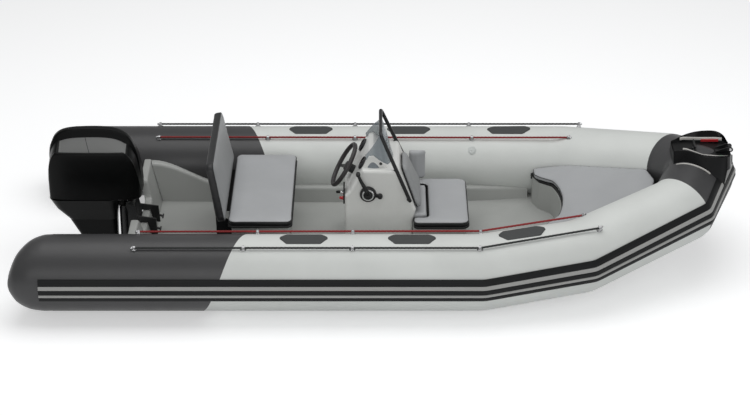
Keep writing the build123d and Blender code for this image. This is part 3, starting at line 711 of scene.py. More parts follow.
def along_tube(angle, out=0.0, kink=KINK):
    """Grid of the whole U of tube from the port stern to the starboard stern, and the row number of
    each knot."""
    rings = knot_rings(angle, out)
    rows, at = [rings[0]], [0]
    for before, corner, after in zip(rings, rings[1:], rings[2:]):
        a = corner + unit(before - corner) * kink
        c = corner + unit(after - corner) * kink
        rows += straight_run(rows[-1], a)[:-1]
        at.append(len(rows) + BEND_ROWS // 2)
        rows += [(1 - t) ** 2 * a + 2 * t * (1 - t) * corner + t ** 2 * c
                 for t in np.linspace(0, 1, BEND_ROWS)]
    rows += straight_run(rows[-1], rings[-1])
    at.append(len(rows) - 1)
    return np.array(rows), at


WHOLE_ANGLE = np.linspace(-np.pi, np.pi, ROUND, endpoint=False)
TUBE_GRID, TUBE_AT = along_tube(WHOLE_ANGLE)
print("tube grid", TUBE_GRID.shape, "knots at rows", TUBE_AT)

# %% [markdown]
# The aft part of each tube is dark cloth. The border runs slanting round the tube, further aft on
# the outboard side, so on the straight run each line round the tube gets its own start.

# %% Light, dark and bow lengths
BORDER_X = -1.016                     # on top of the tube
BORDER_PITCH = 0.1054                 # metres aft for each radian outboard
BORDER_TURN = math.radians(240.0)     # from the tube's inner side to where the slant turns back
LAP = 0.0012                          # the dark cloth is glued over the light
LAP_WIDE = 0.012


def border_x(angle):
    """The border's x: it runs aft evenly from the tube's inner side, over the top, down to below the
    strake, and comes forward again underneath."""
    turned = (angle + np.pi / 2) % (2 * np.pi)
    back = (2 * np.pi - turned) * BORDER_TURN / (2 * np.pi - BORDER_TURN)
    return BORDER_X + BORDER_PITCH * (np.pi / 2 - np.minimum(turned, back))


def straight_rows(start, stop, count, out=0.0):
    """Rings of the straight run from x = start to x = stop, which may be arrays of one x an angle."""
    r = RADII[STERN] + out
    t = np.linspace(0, 1, count)[:, None]
    x = np.broadcast_to(start * (1 - t) + stop * t, (count, ROUND))
    y = np.broadcast_to(CENTRES[STERN][1] + r * np.sin(WHOLE_ANGLE), x.shape)
    z = np.broadcast_to(CENTRES[STERN][2] + r * np.cos(WHOLE_ANGLE), x.shape)
    return np.stack([x, y, z], -1)


BEFORE_BEND = TUBE_AT[BEND_AFT] - BEND_ROWS // 2
border = border_x(WHOLE_ANGLE)
light = np.concatenate([
    straight_rows(border, TUBE_GRID[BEFORE_BEND][0][0], 16)[:-1],
    TUBE_GRID[BEFORE_BEND:TUBE_AT[BEND_BOW] + 1],
])
dark = straight_rows(TUBE_KNOTS[STERN][0] - 0.004, border + LAP_WIDE, 12, LAP)
bow = TUBE_GRID[TUBE_AT[BEND_BOW]:TUBE_AT[STEM + STEM - BEND_BOW] + 1]
CREASE = 50.0                         # degrees: only the tubes' ends are sharper

for side_name in SIDES:
    one_side(side_name, "tube_main", "cloth", "tube_light",
             lambda name: soften(skin(name, light, TUBE_LIGHT), CREASE))
    one_side(side_name, "tube_aft", "cloth", "tube_dark",
             lambda name: soften(skin(name, dark, TUBE_DARK), CREASE))
fit(soften(skin("tube_bow_cloth", bow, TUBE_DARK), CREASE), "hull", "tube_dark", "tube_bow")

# %% [markdown]
# ## Stern cones
# Behind the transom each tube runs out in a lopsided cone that keeps its outboard line and tapers
# from the inside, so that wash doesn't climb it. Its rings are ellipses. A smooth curve through a
# short table gives each ring's two sides and its height.

# %% Cones
CONE_ROWS = np.array([                # x, inboard y, outboard y, half height
    (-2.370, 0.680, 1.240, 0.280),
    (-2.450, 0.695, 1.240, 0.277),
    (-2.540, 0.757, 1.236, 0.248),
    (-2.620, 0.871, 1.216, 0.180),
    (-2.665, 1.000, 1.182, 0.090),
    (-2.678, 1.080, 1.160, 0.036),
])
CONE_TIP = (-2.681, 1.118)


def smooth_table(table, count):
    """Rows of a table joined by a curve that passes each row in the direction of its neighbours."""
    table = np.asarray(table, float)
    padded_rows = np.vstack([2 * table[0] - table[1], table, 2 * table[-1] - table[-2]])
    at = np.linspace(0, len(table) - 1, count)
    k = np.minimum(at.astype(int), len(table) - 2)
    t = (at - k)[:, None]
    p0, p1, p2, p3 = (padded_rows[k + i] for i in range(4))
    return 0.5 * (2 * p1 + (p2 - p0) * t + (2 * p0 - 5 * p1 + 4 * p2 - p3) * t ** 2
                  + (3 * p1 - p0 - 3 * p2 + p3) * t ** 3)


def cone_grid():
    """Ellipses between the two sides, and three smaller ones that close on the tip."""
    rows = smooth_table(CONE_ROWS, 34)
    middle, half = (rows[:, 1] + rows[:, 2]) / 2, (rows[:, 2] - rows[:, 1]) / 2
    x = np.broadcast_to(rows[:, 0, None], (len(rows), ROUND))
    y = middle[:, None] + half[:, None] * np.sin(WHOLE_ANGLE)
    z = CENTRES[STERN][2] + rows[:, 3, None] * np.cos(WHOLE_ANGLE)
    grid = np.stack([x, y, z], -1)
    tip = np.array([CONE_TIP[0], CONE_TIP[1], CENTRES[STERN][2]])
    closing = [tip + (grid[-1] - tip) * s - (0.0015 * (1 - s), 0, 0) for s in (0.75, 0.45, 0.12)]
    return np.concatenate([grid, closing])


both_sides("stern_cone", "cloth", "tube_dark",
           lambda name: soften(skin(name, cone_grid(), TUBE_DARK), CREASE))

# %% [markdown]
# ## Rubbing strake
# A thick moulded rubber band takes the knocks. It runs from one stern round the bow to the other,
# and two pale ribs lie in grooves along it. The same rings as the tube's carry it, at distances round
# the skin and heights read from the band's own profile. Its top edge climbs towards the bow.

# %% Strake and ribs
STRAKE_EDGE = np.radians([72.5, 72.5, 69.0, 58.0, 45.0])   # the band's top edge, at each knot
STRAKE_PROFILE = np.array([           # mm round the skin from that edge, height off the skin in mm
    (0.0, 0.5), (0.5, 6.0), (3.0, 10.0), (8.0, 12.0), (44.0, 12.0), (48.0, 11.0), (50.0, 8.5),
    (83.0, 8.5), (85.0, 11.0), (89.0, 12.0), (112.0, 12.0), (116.0, 11.0), (118.0, 8.5),
    (142.0, 8.5), (144.0, 11.0), (148.0, 12.0), (168.0, 12.0), (174.0, 10.0), (177.5, 6.0),
    (178.0, 0.5),
])
RIB_PROFILES = [
    np.array([(51.5, 7.5), (52.5, 13.0), (56.0, 15.5), (77.0, 15.5), (81.0, 13.0), (82.0, 7.5)]),
    np.array([(119.5, 7.5), (120.3, 13.0), (123.0, 15.5), (137.0, 15.5), (140.0, 13.0), (141.0, 7.5)]),
]
STRAKE_KINK = 0.03                    # the stiff band turns more sharply than the cloth
STRAKE_TAIL = 0.075


def strip(name, profile, material, back=1.5):
    """A band laid along the whole tube. Its back is the same profile, pressed down to the skin. At the
    stern it runs on for a hand's width over the cone."""
    down = np.concatenate([profile[:, 0], profile[::-1, 0]]) / 1000.0
    angle = STRAKE_EDGE[:, None] + down / RADII[:, None]
    out = np.concatenate([profile[:, 1], np.full(len(profile), back)]) / 1000.0
    grid, _ = along_tube(angle, out, STRAKE_KINK)
    grid = np.concatenate([grid[:1] - (STRAKE_TAIL, 0, 0), grid, grid[-1:] - (STRAKE_TAIL, 0, 0)])
    return soften(skin(name, grid, material), 30.0)


fit(strip("rub_strake_band", STRAKE_PROFILE, STRAKE_BLACK), "hull", "strake", "rub_strake")
ribs = [strip(f"rib_{k}", profile, STRIPE_GREY, 7.0) for k, profile in enumerate(RIB_PROFILES)]
fit(join("rub_stripes_ribs", *ribs), "hull", "stripe", "rub_stripes")
print("strake laid over", len(STRAKE_PROFILE), "profile points")

# %% [markdown]
# ## Wear patches
# Six-sided patches of ribbed rubber are glued on top of the tubes where people step and sit. A patch
# is wrapped round the tube: its own flat coordinates become distance along the axis and angle.

# %% Patches
PATCH_AT = (-0.539, 0.246, 1.070)
PATCH_L, PATCH_W, PATCH_T = 0.347, 0.147, 0.004
PATCH_NOSE = 0.012                    # half the blunt nose's width
GLUE = 0.0004                         # holds the patch just off the cloth


def axis_at(x):
    """Point on the port tube's axis at this x, its radius and its direction."""
    k = int(np.clip(np.searchsorted(TUBE_KNOTS[:, 0], x) - 1, 0, len(TUBE_KNOTS) - 2))
    t = (x - TUBE_KNOTS[k, 0]) / (TUBE_KNOTS[k + 1, 0] - TUBE_KNOTS[k, 0])
    row = TUBE_KNOTS[k] * (1 - t) + TUBE_KNOTS[k + 1] * t
    return row[:3], row[3], unit(TUBE_KNOTS[k + 1, :3] - TUBE_KNOTS[k, :3])


def level_frame(direction):
    """Across the tube and level, and square to both: its top side."""
    side = unit(np.array([-direction[1], direction[0], 0.0]))
    return side, np.cross(direction, side)


def wrap(x, along, across, out):
    """Flat patch coordinates laid on the tube near x."""
    centre, radius, direction = axis_at(x)
    side, up = level_frame(direction)
    angle = across / radius
    r = radius + out
    return (centre + along[..., None] * direction + (r * np.sin(angle))[..., None] * side
            + (r * np.cos(angle))[..., None] * up)


def patch(name, x):
    """A hexagon: its half width grows from a blunt nose to full width over a third of the width."""
    nose = PATCH_W / 3
    s = np.array([-PATCH_L / 2, *np.linspace(-PATCH_L / 2 + 0.004, PATCH_L / 2 - 0.004, 34),
                  PATCH_L / 2])
    half = np.minimum(PATCH_W / 2,
                      PATCH_NOSE + (PATCH_L / 2 - np.abs(s)) * (PATCH_W / 2 - PATCH_NOSE) / nose)
    across = np.array([-1.0, -0.985, -0.96, *np.linspace(-0.9, 0.9, 13), 0.96, 0.985, 1.0])
    rise = np.array([0.0, 0.75, 1.0, *np.ones(13), 1.0, 0.75, 0.0])
    ends = np.minimum(1.0, (PATCH_L / 2 - np.abs(s)) / 0.004)
    top = wrap(x, np.broadcast_to(s[:, None], (len(s), len(across))), half[:, None] * across,
               PATCH_T * rise * ends[:, None] + GLUE)
    below = wrap(x, np.broadcast_to(s[:, None], (len(s), 2)),
                 half[:, None] * np.array([1.0, -1.0]), -0.001)
    return soften(skin(name, np.concatenate([top, below], axis=1), PATCH_DARK), 30.0)


patches = [patch(f"patch_{k}", x) for k, x in enumerate(PATCH_AT)]
patches += [mirrored(p, f"{p.name}_twin") for p in patches]
fit(join("wear_patches_rubber", *patches), "hull", "patch", "wear_patches")


# %% [markdown]
# ## Lifelines
# Two ropes run along the top of each tube, pulled tight through small holders whose feet are glued
# on. A rope's cover is braided over three strands. So the round section bulges at three places that
# turn as it goes along, and the braid itself is left to the finish.

# %% Rope finish
BRAID_ALONG, BRAID_ROUND = 0.014, 0.0104


def rope_paint(name, colour):
    """Braided cover: two slanting waves cross over the cord, with painted shade where they dip and a
    painted highlight on their crests.
    """
    paint = Paint(name)
    vector, _ = paint.place()
    _, (u, v) = paint.along()
    one, other = u * (2 * math.pi / BRAID_ALONG), v * (2 * math.pi / BRAID_ROUND)
    braid = (one + other).sine() * 0.5 + (one - other).sine() * 0.5
    # painted shade in the braid's dips and a painted highlight on its crests, following the braid's
    # height
    tone = paint.mix(braid.smooth(-0.8, 0.6), tint(colour, 0.55), tint(colour, 1.15))
    fray = paint.noise(vector, 160.0, 3.0)
    paint.set(base_color=tone, roughness=fray * 0.2 + 0.7)
    paint.set(normal=paint.bump(braid, 0.0008))
    return paint.material


ROPE_RED = rope_paint("rope_red", shade(150, 44, 46))
ROPE_BLACK = rope_paint("rope_black", shade(44, 46, 46))


# %% Plastic and metal
def satin_plastic(name, colour, gloss=0.42, grain=0.00012):
    """Moulded plastic: spark-eroded grain and a slow change of gloss."""
    paint = Paint(name)
    vector, _ = paint.place()
    cloud = paint.noise(vector, 11.0, 4.0)
    fine = paint.noise(vector, 700.0, 2.0)
    paint.set(base_color=paint.mix(cloud, tint(colour, 0.88), tint(colour, 1.12)),
              roughness=cloud * 0.12 + (gloss - 0.06), specular_ior_level=0.45)
    paint.set(normal=paint.bump(fine, grain))
    return paint.material


def bright_metal(name, colour=(0.66, 0.66, 0.67), rough=0.22):
    """Polished stainless steel: fine brush lines along the piece and faint finger smears."""
    paint = Paint(name)
    vector, _ = paint.place()
    smear = paint.noise(vector, 22.0, 5.0, 0.7)
    lines = paint.noise(paint.stretched(vector, (40.0, 900.0, 900.0)), 1.0, 2.0)
    paint.set(base_color=paint.mix(smear, tint(colour, 0.9), colour), metallic=1.0,
              roughness=smear * 0.14 + (rough - 0.05))
    paint.set(normal=paint.bump(lines, 0.00004))
    return paint.material


BLACK_PLASTIC = satin_plastic("black_plastic", shade(24, 25, 26))
STEEL = bright_metal("steel")
VALVE_WHITE = satin_plastic("valve_white", shade(206, 210, 208), 0.36)
CLIP_GREY = satin_plastic("clip_grey", shade(96, 98, 98), 0.5)
CLIP_SILVER = bright_metal("clip_silver", (0.50, 0.50, 0.51), 0.34)
print("finishes:", len(bpy.data.materials))

# %% Ropes and holders
ROPE_R = 0.0075
LINES = [                             # name, route, x of the holders on the straight run, finish, slot
    ("outer", [(-1.760, 1.089, 0.578), (0.735, 1.089, 0.578), (1.611, 0.920, 0.654)],
     (-0.972, -0.185), ROPE_BLACK, "rope_black"),
    ("inner", [(-1.750, 0.832, 0.579), (0.750, 0.822, 0.579), (1.510, 0.688, 0.641)],
     (-0.880, -0.184), ROPE_RED, "rope_red"),
]
STRANDS, LAY = 3, 0.030               # strands in a rope, and the length in which one goes round
ROPE_STEP = 0.009


def rope(name, route, paint_used):
    """Round section whose radius swells by a tenth where a strand is on top."""
    run = [np.asarray(route[0], float)]
    for a, b in zip(np.asarray(route), np.asarray(route[1:])):
        steps = int(np.linalg.norm(b - a) / ROPE_STEP)
        run += [a + (b - a) * t for t in np.linspace(0, 1, steps + 1)[1:]]
    run = np.array(run)
    _, side, up = frames_along(run)
    angle = np.linspace(0, 2 * np.pi, 9, endpoint=False)
    swell = 1 + 0.1 * np.cos(STRANDS * angle[None] - (2 * np.pi / LAY * run_length(run))[:, None])
    circle = np.cos(angle)[None, :, None] * side[:, None] + np.sin(angle)[None, :, None] * up[:, None]
    return skin(name, run[:, None] + ROPE_R * swell[..., None] * circle, paint_used)


def on_skin(spot):
    """The tube's skin under a point of a rope: point, outward direction and the tube's heading."""
    spot = np.asarray(spot, float)
    centre, radius, direction = axis_at(spot[0])
    away = spot - centre
    away = unit(away - direction * np.dot(away, direction))
    return centre + direction * np.dot(spot - centre, direction) + away * radius, away, direction


def holder(name, spot, end):
    """A small rubber foot with a bright waisted saddle that the rope goes through, and a pin across."""
    foot, away, direction = on_skin(spot)
    across = np.cross(away, direction)
    height = float(np.dot(np.asarray(spot) - foot, away))

    def lay(grid):
        return (foot + grid[..., 0:1] * direction + grid[..., 1:2] * across + grid[..., 2:3] * away)

    base = slab(f"{name}_foot", oblong(-0.022, 0.022, -0.015, 0.015, 0.013), -0.002, 0.004, 0.003,
                CLIP_GREY, place=lay)
    waist = oblong(-0.012, 0.012, -0.010, 0.010, 0.005, 4)
    rings = [np.column_stack([waist * grow, np.full(len(waist), z)]) for grow, z in
             ((1.35, 0.004), (1.0, 0.4 * height), (1.0, height), (0.86, height + ROPE_R + 0.004),
              (0.55, height + ROPE_R + 0.006))]
    saddle = soften(skin(f"{name}_saddle", lay(np.array(rings)), CLIP_SILVER), 45.0)
    low = lay(np.array([[0.0, -0.020, height - 0.001]]))[0]
    high = lay(np.array([[0.0, 0.020, height - 0.001]]))[0]
    pin = tube_along(f"{name}_pin", np.linspace(low, high, 3), 0.0034, STEEL, 10)
    parts = [base, saddle, pin]
    if end:
        knot = disc(f"{name}_knot", np.asarray(spot) + direction * end * 0.012, direction,
                    [(0.0005, -0.016), (0.007, -0.012), (0.0095, 0.0), (0.007, 0.012), (0.0005, 0.016)],
                    STEEL, 12, None)
        parts.append(knot)
    return parts


for line_name, route, stops, paint_used, slot_name in LINES:
    start, bend, finish = [np.asarray(p) for p in route]
    parts = [rope(f"{line_name}_rope", route, paint_used)]
    spots = [(start, -1), (bend, 0), (finish, 1)]
    spots += [(start + (bend - start) * ((x - start[0]) / (bend[0] - start[0])), 0) for x in stops]
    for k, (spot, end) in enumerate(spots):
        parts += holder(f"{line_name}_{k}", spot, end)
    fit(with_twin(f"lifeline_{line_name}_rope", join(f"{line_name}_half", *parts)), "hull", slot_name,
        f"lifeline_{line_name}")

# %% [markdown]
# ## Inflation valves
# A round cap sits flush in each tube's inner side. It is a turned part: a flange, a step, and a
# knurled cap with a cross slot that a fingertip turns.

# %% Valves
VALVE_X, VALVE_ANGLE = 0.800, math.radians(-48.0)


def valve(name):
    """Flange, cap and the cap's cross, turned about the tube's own outward direction."""
    centre, radius, direction = axis_at(VALVE_X)
    side, up = level_frame(direction)
    out = math.sin(VALVE_ANGLE) * side + math.cos(VALVE_ANGLE) * up
    foot = centre + out * radius
    flange = disc(f"{name}_flange", foot, out,
                  [(0.0345, -0.004), (0.0345, 0.002), (0.0325, 0.004), (0.0285, 0.0045),
                   (0.0275, 0.002), (0.0005, 0.002)], VALVE_WHITE, 48)
    cap = disc(f"{name}_cap", foot, out,
               [(0.026, 0.0), (0.026, 0.006), (0.0245, 0.0078), (0.018, 0.0082), (0.0165, 0.0066),
                (0.0005, 0.0066)], VALVE_WHITE, 36)
    across = np.cross(out, direction)
    bars = []
    for k, way in enumerate((direction, across)):
        ends = np.linspace(foot + out * 0.0068 - way * 0.016, foot + out * 0.0068 + way * 0.016, 3)
        bars.append(tube_along(f"{name}_bar_{k}", ends, 0.0022, VALVE_WHITE, 8))
    return join(name, flange, cap, *bars)


fit(with_twin("valves_caps", valve("valve_half")), "hull", "valve_white", "valves")


# %% [markdown]
# ## Moulded hull, sole and liners
# The hull and everything moulded inside it is glass fibre with a thin gelcoat, which is glossy with a
# slow wave in it. The sole has a pressed non-slip pattern. The hull is a V that deepens and narrows
# towards the bow. A smooth curve through a short table gives each section's keel and chines.

# %% Gelcoat and non-slip
GELCOAT_GLOSS, GRIME = 0.26, 0.12     # roughness, and how dirty the lowest places are


def gelcoat(name, colour):
    """Glossy moulding: a slow wave, fine dust and a little dirt low down in the cockpit."""
    paint = Paint(name)
    vector, (_, _, z) = paint.place()
    wave = paint.noise(vector, 3.5, 3.0)
    dust = paint.noise(vector, 26.0, 6.0, 0.7)
    low = 1 - z.smooth(0.02, 0.20)
    tone = paint.mix(wave.smooth(0.3, 0.7), tint(colour, 0.965), tint(colour, 1.03))
    tone = paint.mix((low * GRIME * 0.6 + 0.03) * dust.smooth(0.5, 0.8), tone,
                     tuple(c * k for c, k in zip(colour, (0.72, 0.70, 0.66))))
    paint.set(base_color=tone, roughness=dust * 0.16 + GELCOAT_GLOSS,
              specular_ior_level=0.4)
    paint.set(normal=paint.bump(wave, 0.0012))
    return paint.material


DIAMOND = 0.018


def non_slip(name, colour):
    """Small raised diamonds pressed into the sole, painted paler than the hollows between them as
    painted light and shade, with scuffs along the boat's length.
    """
    paint = Paint(name)
    vector, (x, y, _) = paint.place()
    diamond = (x + y).wave(DIAMOND) * (x - y).wave(DIAMOND)
    raised = diamond.smooth(0.35, 0.6)
    scuff = paint.noise(paint.stretched(vector, (3.0, 14.0, 1.0)), 4.0, 6.0, 0.7)
    # painted light and shade of the relief: the raised diamonds paler, the hollows between them darker
    tone = paint.mix(raised * 0.5, tint(colour, 0.93), tint(colour, 1.05))
    tone = paint.mix(scuff.smooth(0.5, 0.8) * 0.14, tone, tint(colour, 0.8))
    paint.set(base_color=tone, roughness=scuff * 0.2 + 0.38)
    paint.set(normal=paint.bump(raised, 0.0009))
    return paint.material


# The gelcoat and the sole are painted darker than the console's copy of the gelcoat: painted shade of
# the cockpit's interior. The hull outside takes the same colour.
GELCOAT = gelcoat("gelcoat", shade(170, 172, 169))
SOLE = non_slip("sole", shade(154, 154, 151))
BOARD = satin_plastic("board", shade(26, 27, 27), 0.6, 0.0002)
BLACK_METAL = satin_plastic("black_metal", shade(22, 23, 24), 0.34, 0.00006)


def dress(node, material):
    """Gives a node that keeps its solid mesh a finish of its own."""
    for place in NODES[node].material_slots:
        place.material = material
    print(f"{node}: solid mesh in {material.name}")


# %% Hull
HULL_ROWS = np.array([                # x, keel z, chine y, chine z, top of the side wall
    (-1.860, -0.255, 0.780, 0.025, 0.115),
    (-0.600, -0.255, 0.800, 0.030, 0.105),
    (0.600, -0.245, 0.795, 0.032, 0.112),
    (1.250, -0.205, 0.735, 0.038, 0.150),
    (1.750, -0.110, 0.560, 0.150, 0.235),
    (2.100, 0.040, 0.360, 0.270, 0.335),
    (2.330, 0.205, 0.165, 0.360, 0.410),
    (2.400, 0.280, 0.090, 0.385, 0.435),
    (2.455, 0.350, 0.040, 0.395, 0.445),
])


def hull_skin():
    """Sections across the boat: a blunt keel, a flat bottom up to the chine, a short wall that the tube
    hides, and a lid between the walls."""
    rows = smooth_table(HULL_ROWS, 90)
    x, keel, chine_y, chine_z, wall = (rows[:, k, None] for k in range(5))
    s = np.array([0.0, 0.015, 0.035, 0.07, 0.15, 0.3, 0.5, 0.7, 0.88, 0.97, 1.0])
    blunt = 0.012 * np.clip(1 - s / 0.07, 0, 1) ** 2
    z = keel + (chine_z - keel) * s + blunt + 0.004 * np.clip((s - 0.97) / 0.03, 0, 1)
    y = chine_y * s
    y = np.hstack([y, chine_y - 0.003, chine_y - 0.012, chine_y - 0.060])
    z = np.hstack([z, chine_z + 0.010, wall, wall])
    right = np.stack([np.broadcast_to(x, y.shape), -y, z], -1)[:, ::-1]
    left = np.stack([np.broadcast_to(x, y.shape), y, z], -1)[:, 1:]
    return soften(skin("hull_skin", np.concatenate([right, left], axis=1), GELCOAT), 35.0)


fit(hull_skin(), "hull", "gelcoat", "hull_shell")


def bottom_z(x, y):
    """Height of the V at these places."""
    keel, chine_y, chine_z = (np.interp(x, HULL_ROWS[:, 0], HULL_ROWS[:, k]) for k in (1, 2, 3))
    return keel + (chine_z - keel) * np.abs(y) / chine_y


CUT_ABOVE, WALL_INSIDE = 0.070, 0.008


def tucked(name, node, material, slot):
    """The node's own solid with what lies below the V lifted to just inside it. Its long edges are cut
    first, so that the lifted floor can follow the hull."""
    solid = bmesh.new()
    solid.from_mesh(NODES[node].data)
    bmesh.ops.remove_doubles(solid, verts=solid.verts, dist=0.0001)
    for _ in range(5):
        long_edges = [edge for edge in solid.edges if edge.calc_length() > CUT_ABOVE]
        if long_edges:
            bmesh.ops.subdivide_edges(solid, edges=long_edges, cuts=1)
            bmesh.ops.triangulate(solid, faces=solid.faces)
    mesh = bpy.data.meshes.new(name)
    solid.to_mesh(mesh)
    solid.free()
    place = read_points(mesh)
    place[:, 2] = np.maximum(place[:, 2], bottom_z(place[:, 0], place[:, 1]) + WALL_INSIDE)
    write_points(mesh, place)
    mesh.materials.append(material)
    return fit(soften(in_scene(name, mesh), 35.0), "hull", slot, node)


# %% [markdown]
# The side liner is one profile carried along the cockpit. It rises from the sole to a ledge under
# the tube, and aft of the bench the ledge climbs to the transom's height. Its two corners are arcs
# a few centimetres wide.

# %% Sole and liners
FLOOR_Z, FLOOR_HALF_Y = 0.030, 0.604
LEDGE_Z, LEDGE_OUT = 0.230, 0.637
RISE_START, RISE_END, TRANSOM_TOP = -1.150, -1.790, 0.434
LEAN = math.tan(math.radians(14.0))   # the transom's top leans aft
TRANSOM_X = -1.700


def transom_x(z):
    """X of the transom's inner face at height z."""
    return TRANSOM_X - LEAN * (z - FLOOR_Z)


def liner_profile(top):
    """Sole edge, cove, wall, rounded ledge edge, and the ledge out to the tube: (y, z) pairs."""
    wall_top = LEDGE_OUT + (top - LEDGE_Z) * 0.055
    return rounded([(0.560, FLOOR_Z - 0.010), (0.560, FLOOR_Z), (FLOOR_HALF_Y + 0.001, FLOOR_Z),
                    (wall_top, top), (wall_top + 0.16, top), (wall_top + 0.16, top - 0.02)],
                   [0, 0, 0.045, 0.028, 0, 0], 8)[1:-1]


def liner(name):
    """Rows along the cockpit. Each one's ledge height follows the climb to the transom, and the last
    rows bend forward a little with the transom's lean."""
    stations = np.array([*np.linspace(1.192, RISE_START, 12)[:-1],
                         *np.linspace(RISE_START, RISE_END, 14), -1.800])
    t = np.clip((RISE_START - stations) / (RISE_START - RISE_END), 0, 1)
    tops = LEDGE_Z + (TRANSOM_TOP - LEDGE_Z) * (t * t * (3 - 2 * t))
    rows = []
    for x, top in zip(stations, tops):
        pair = liner_profile(top)
        along = np.maximum(x, transom_x(pair[:, 1]) + 0.002)
        rows.append(np.column_stack([along, pair]))
    return soften(skin(name, np.array(rows), GELCOAT, ring=False), 60.0)


both_sides("side_liner", "moulding", "gelcoat", liner)
tucked("cockpit_sole_board", "cockpit_sole", SOLE, "sole")

# %% [markdown]
# The transom is a leaning slab with a deep cut for the engine. It is drawn as an outline in its own
# plane and sheared aft with height, so that the rounded rims follow the lean.

# %% Transom
WELL_HALF, WELL_TOP, TRANSOM_T = 0.300, 0.290, 0.062


def lean_back(grid):
    """Shears x aft with height."""
    out = grid.copy()
    out[..., 0] = transom_x(grid[..., 2]) + grid[..., 0]
    return out


RIM_Z = TRANSOM_TOP + 0.006
half_rim = [(0.766, RIM_Z), (WELL_HALF + 0.040, RIM_Z), (WELL_HALF, WELL_TOP)]
transom_outline = rounded(
    [(0.0, -0.250), (0.770, 0.020), (0.766, 0.075)] + half_rim
    + [(-y, z) for y, z in reversed(half_rim)] + [(-0.766, 0.075), (-0.770, 0.020)],
    [0, 0, 0, 0, 0.05, 0.05, 0.05, 0.05, 0, 0, 0], 8)
transom = slab("transom_moulding", transom_outline, -TRANSOM_T, -0.001, 0.014, GELCOAT, plane="yz",
               place=lean_back, steps=5, sharp=50.0)
drains = []
for y in (-0.235, 0.235):
    face = np.array([transom_x(0.075), y, 0.075])
    drains.append(disc("drain", face, unit((1.0, 0.0, LEAN)),
                       [(0.024, -0.002), (0.024, 0.004), (0.021, 0.006), (0.015, 0.006),
                        (0.013, -0.001), (0.0005, -0.001)], VALVE_WHITE, 32))
fit(transom, "hull", "gelcoat", "transom")
fit(join("transom_drains", *drains), "hull", "valve_white")


# %% [markdown]
# ## Cushions
# A cushion is foam in a sewn vinyl cover: a grey top panel, a black side band, and piping where they
# meet. Each starts as a plain block a little smaller than the real one. A short cloth simulation
# with air pressure inside swells it, and every point may move only a few millimetres, so it keeps
# its plan and gets a crowned top and sides that pull in between the corners. The black band is
# painted by height through the block, in the cushion's own coordinates.

# %% Vinyl
def vinyl(name, colour, shine=0.5):
    """Pebble grain with fine creases, and a soft change of colour over the panel."""
    paint = Paint(name)
    vector, _ = paint.place()
    pebble = paint.cells(vector, 520.0)
    cloud = paint.noise(vector, 3.0, 4.0)
    crease = paint.noise(vector, 14.0, 6.0, 0.75)
    tone = paint.mix(cloud.smooth(0.3, 0.7), tint(colour, 0.96), tint(colour, 1.03))
    tone = paint.mix(pebble * 0.35, tone, tint(colour, 0.9))
    paint.set(base_color=tone, roughness=crease * 0.14 + (shine - 0.07), specular_ior_level=0.42,
              sheen_weight=0.04)
    soft = paint.bump(crease, 0.0006)
    paint.set(normal=paint.bump(1 - pebble, 0.00012, soft))
    return paint.material


CUSHION_GREY = vinyl("cushion", shade(172, 174, 176))
CUSHION_BACK = vinyl("cushion_back", shade(150, 152, 153))
CUSHION_BLACK = vinyl("cushion_black", shade(34, 35, 36), 0.42)


# %% Inflating a block of foam
def voxel_copy(made, size):
    """Remeshes the block into small even squares."""
    made.data.remesh_voxel_size = size
    remesh = made.modifiers.new("even", "REMESH")
    remesh.mode = "VOXEL"
    remesh.voxel_size = size
    apply_modifiers(made)


def apply_modifiers(made):
    """Writes the result of the modifiers into the mesh."""
    graph = bpy.context.evaluated_depsgraph_get()
    mesh = bpy.data.meshes.new_from_object(made.evaluated_get(graph))
    made.modifiers.clear()
    old = made.data
    made.data = mesh
    bpy.data.meshes.remove(old)


# %% Air pressure
AIR_PRESSURE, AIR_FRAMES = 4.0, 20


def inflate(made, cap, size):
    """Cloth with air pressure inside; no point may move further than cap."""
    voxel_copy(made, size)
    start = read_points(made.data)
    cloth = made.modifiers.new("cloth", "CLOTH")
    cloth.settings.use_pressure = True
    cloth.settings.uniform_pressure_force = AIR_PRESSURE
    cloth.settings.effector_weights.gravity = 0.0
    cloth.settings.quality = 4
    cloth.collision_settings.use_collision = False
    cloth.point_cache.frame_start, cloth.point_cache.frame_end = 1, AIR_FRAMES
    for frame_number in range(1, AIR_FRAMES + 1):
        SCENE.frame_set(frame_number)
    apply_modifiers(made)
    SCENE.frame_set(1)
    moved = read_points(made.data) - start
    far = np.linalg.norm(moved, axis=1, keepdims=True)
    write_points(made.data, start + moved * np.minimum(1.0, cap / np.maximum(far, 1e-9)))
    smooth = made.modifiers.new("smooth", "SMOOTH")
    smooth.factor, smooth.iterations = 0.5, 3
    apply_modifiers(made)
    made.data.polygons.foreach_set("use_smooth", [True] * len(made.data.polygons))
    return made


def paint_band(made, is_band, top, band):
    """Two covers on one pad: faces whose centres pass the test get the band's vinyl."""
    made.data.materials.clear()
    made.data.materials.append(top)
    made.data.materials.append(band)
    centres = np.empty(len(made.data.polygons) * 3)
    made.data.polygons.foreach_get("center", centres)
    picked = is_band(centres.reshape(-1, 3))
    made.data.polygons.foreach_set("material_index", picked.astype(np.int32))


# %% Seams and piping
PIPING_R, STITCH_GAP = 0.0030, 0.012


def level_split(made, origin, normal):
    """Cuts the pad's mesh along a level of its own depth, so that the two covers meet on a clean
    line."""
    work = bmesh.new()
    work.from_mesh(made.data)
    bmesh.ops.bisect_plane(work, geom=list(work.verts) + list(work.edges) + list(work.faces),
                           plane_co=origin, plane_no=normal, dist=1e-5)
    work.to_mesh(made.data)
    work.free()


def piping(name, loop, made):
    """A cord sewn into the seam: a closed route pulled onto the pad's skin."""
    tree = BVHTree.FromPolygons([tuple(p) for p in read_points(made.data)],
                                [tuple(f.vertices) for f in made.data.polygons])
    route = []
    for spot in loop:
        near, normal, _, _ = tree.find_nearest(Vector(spot))
        route.append(np.array(near) + np.array(normal) * PIPING_R * 0.2)
    return tube_along(name, np.array(route), PIPING_R, CUSHION_BLACK, 8, closed=True)


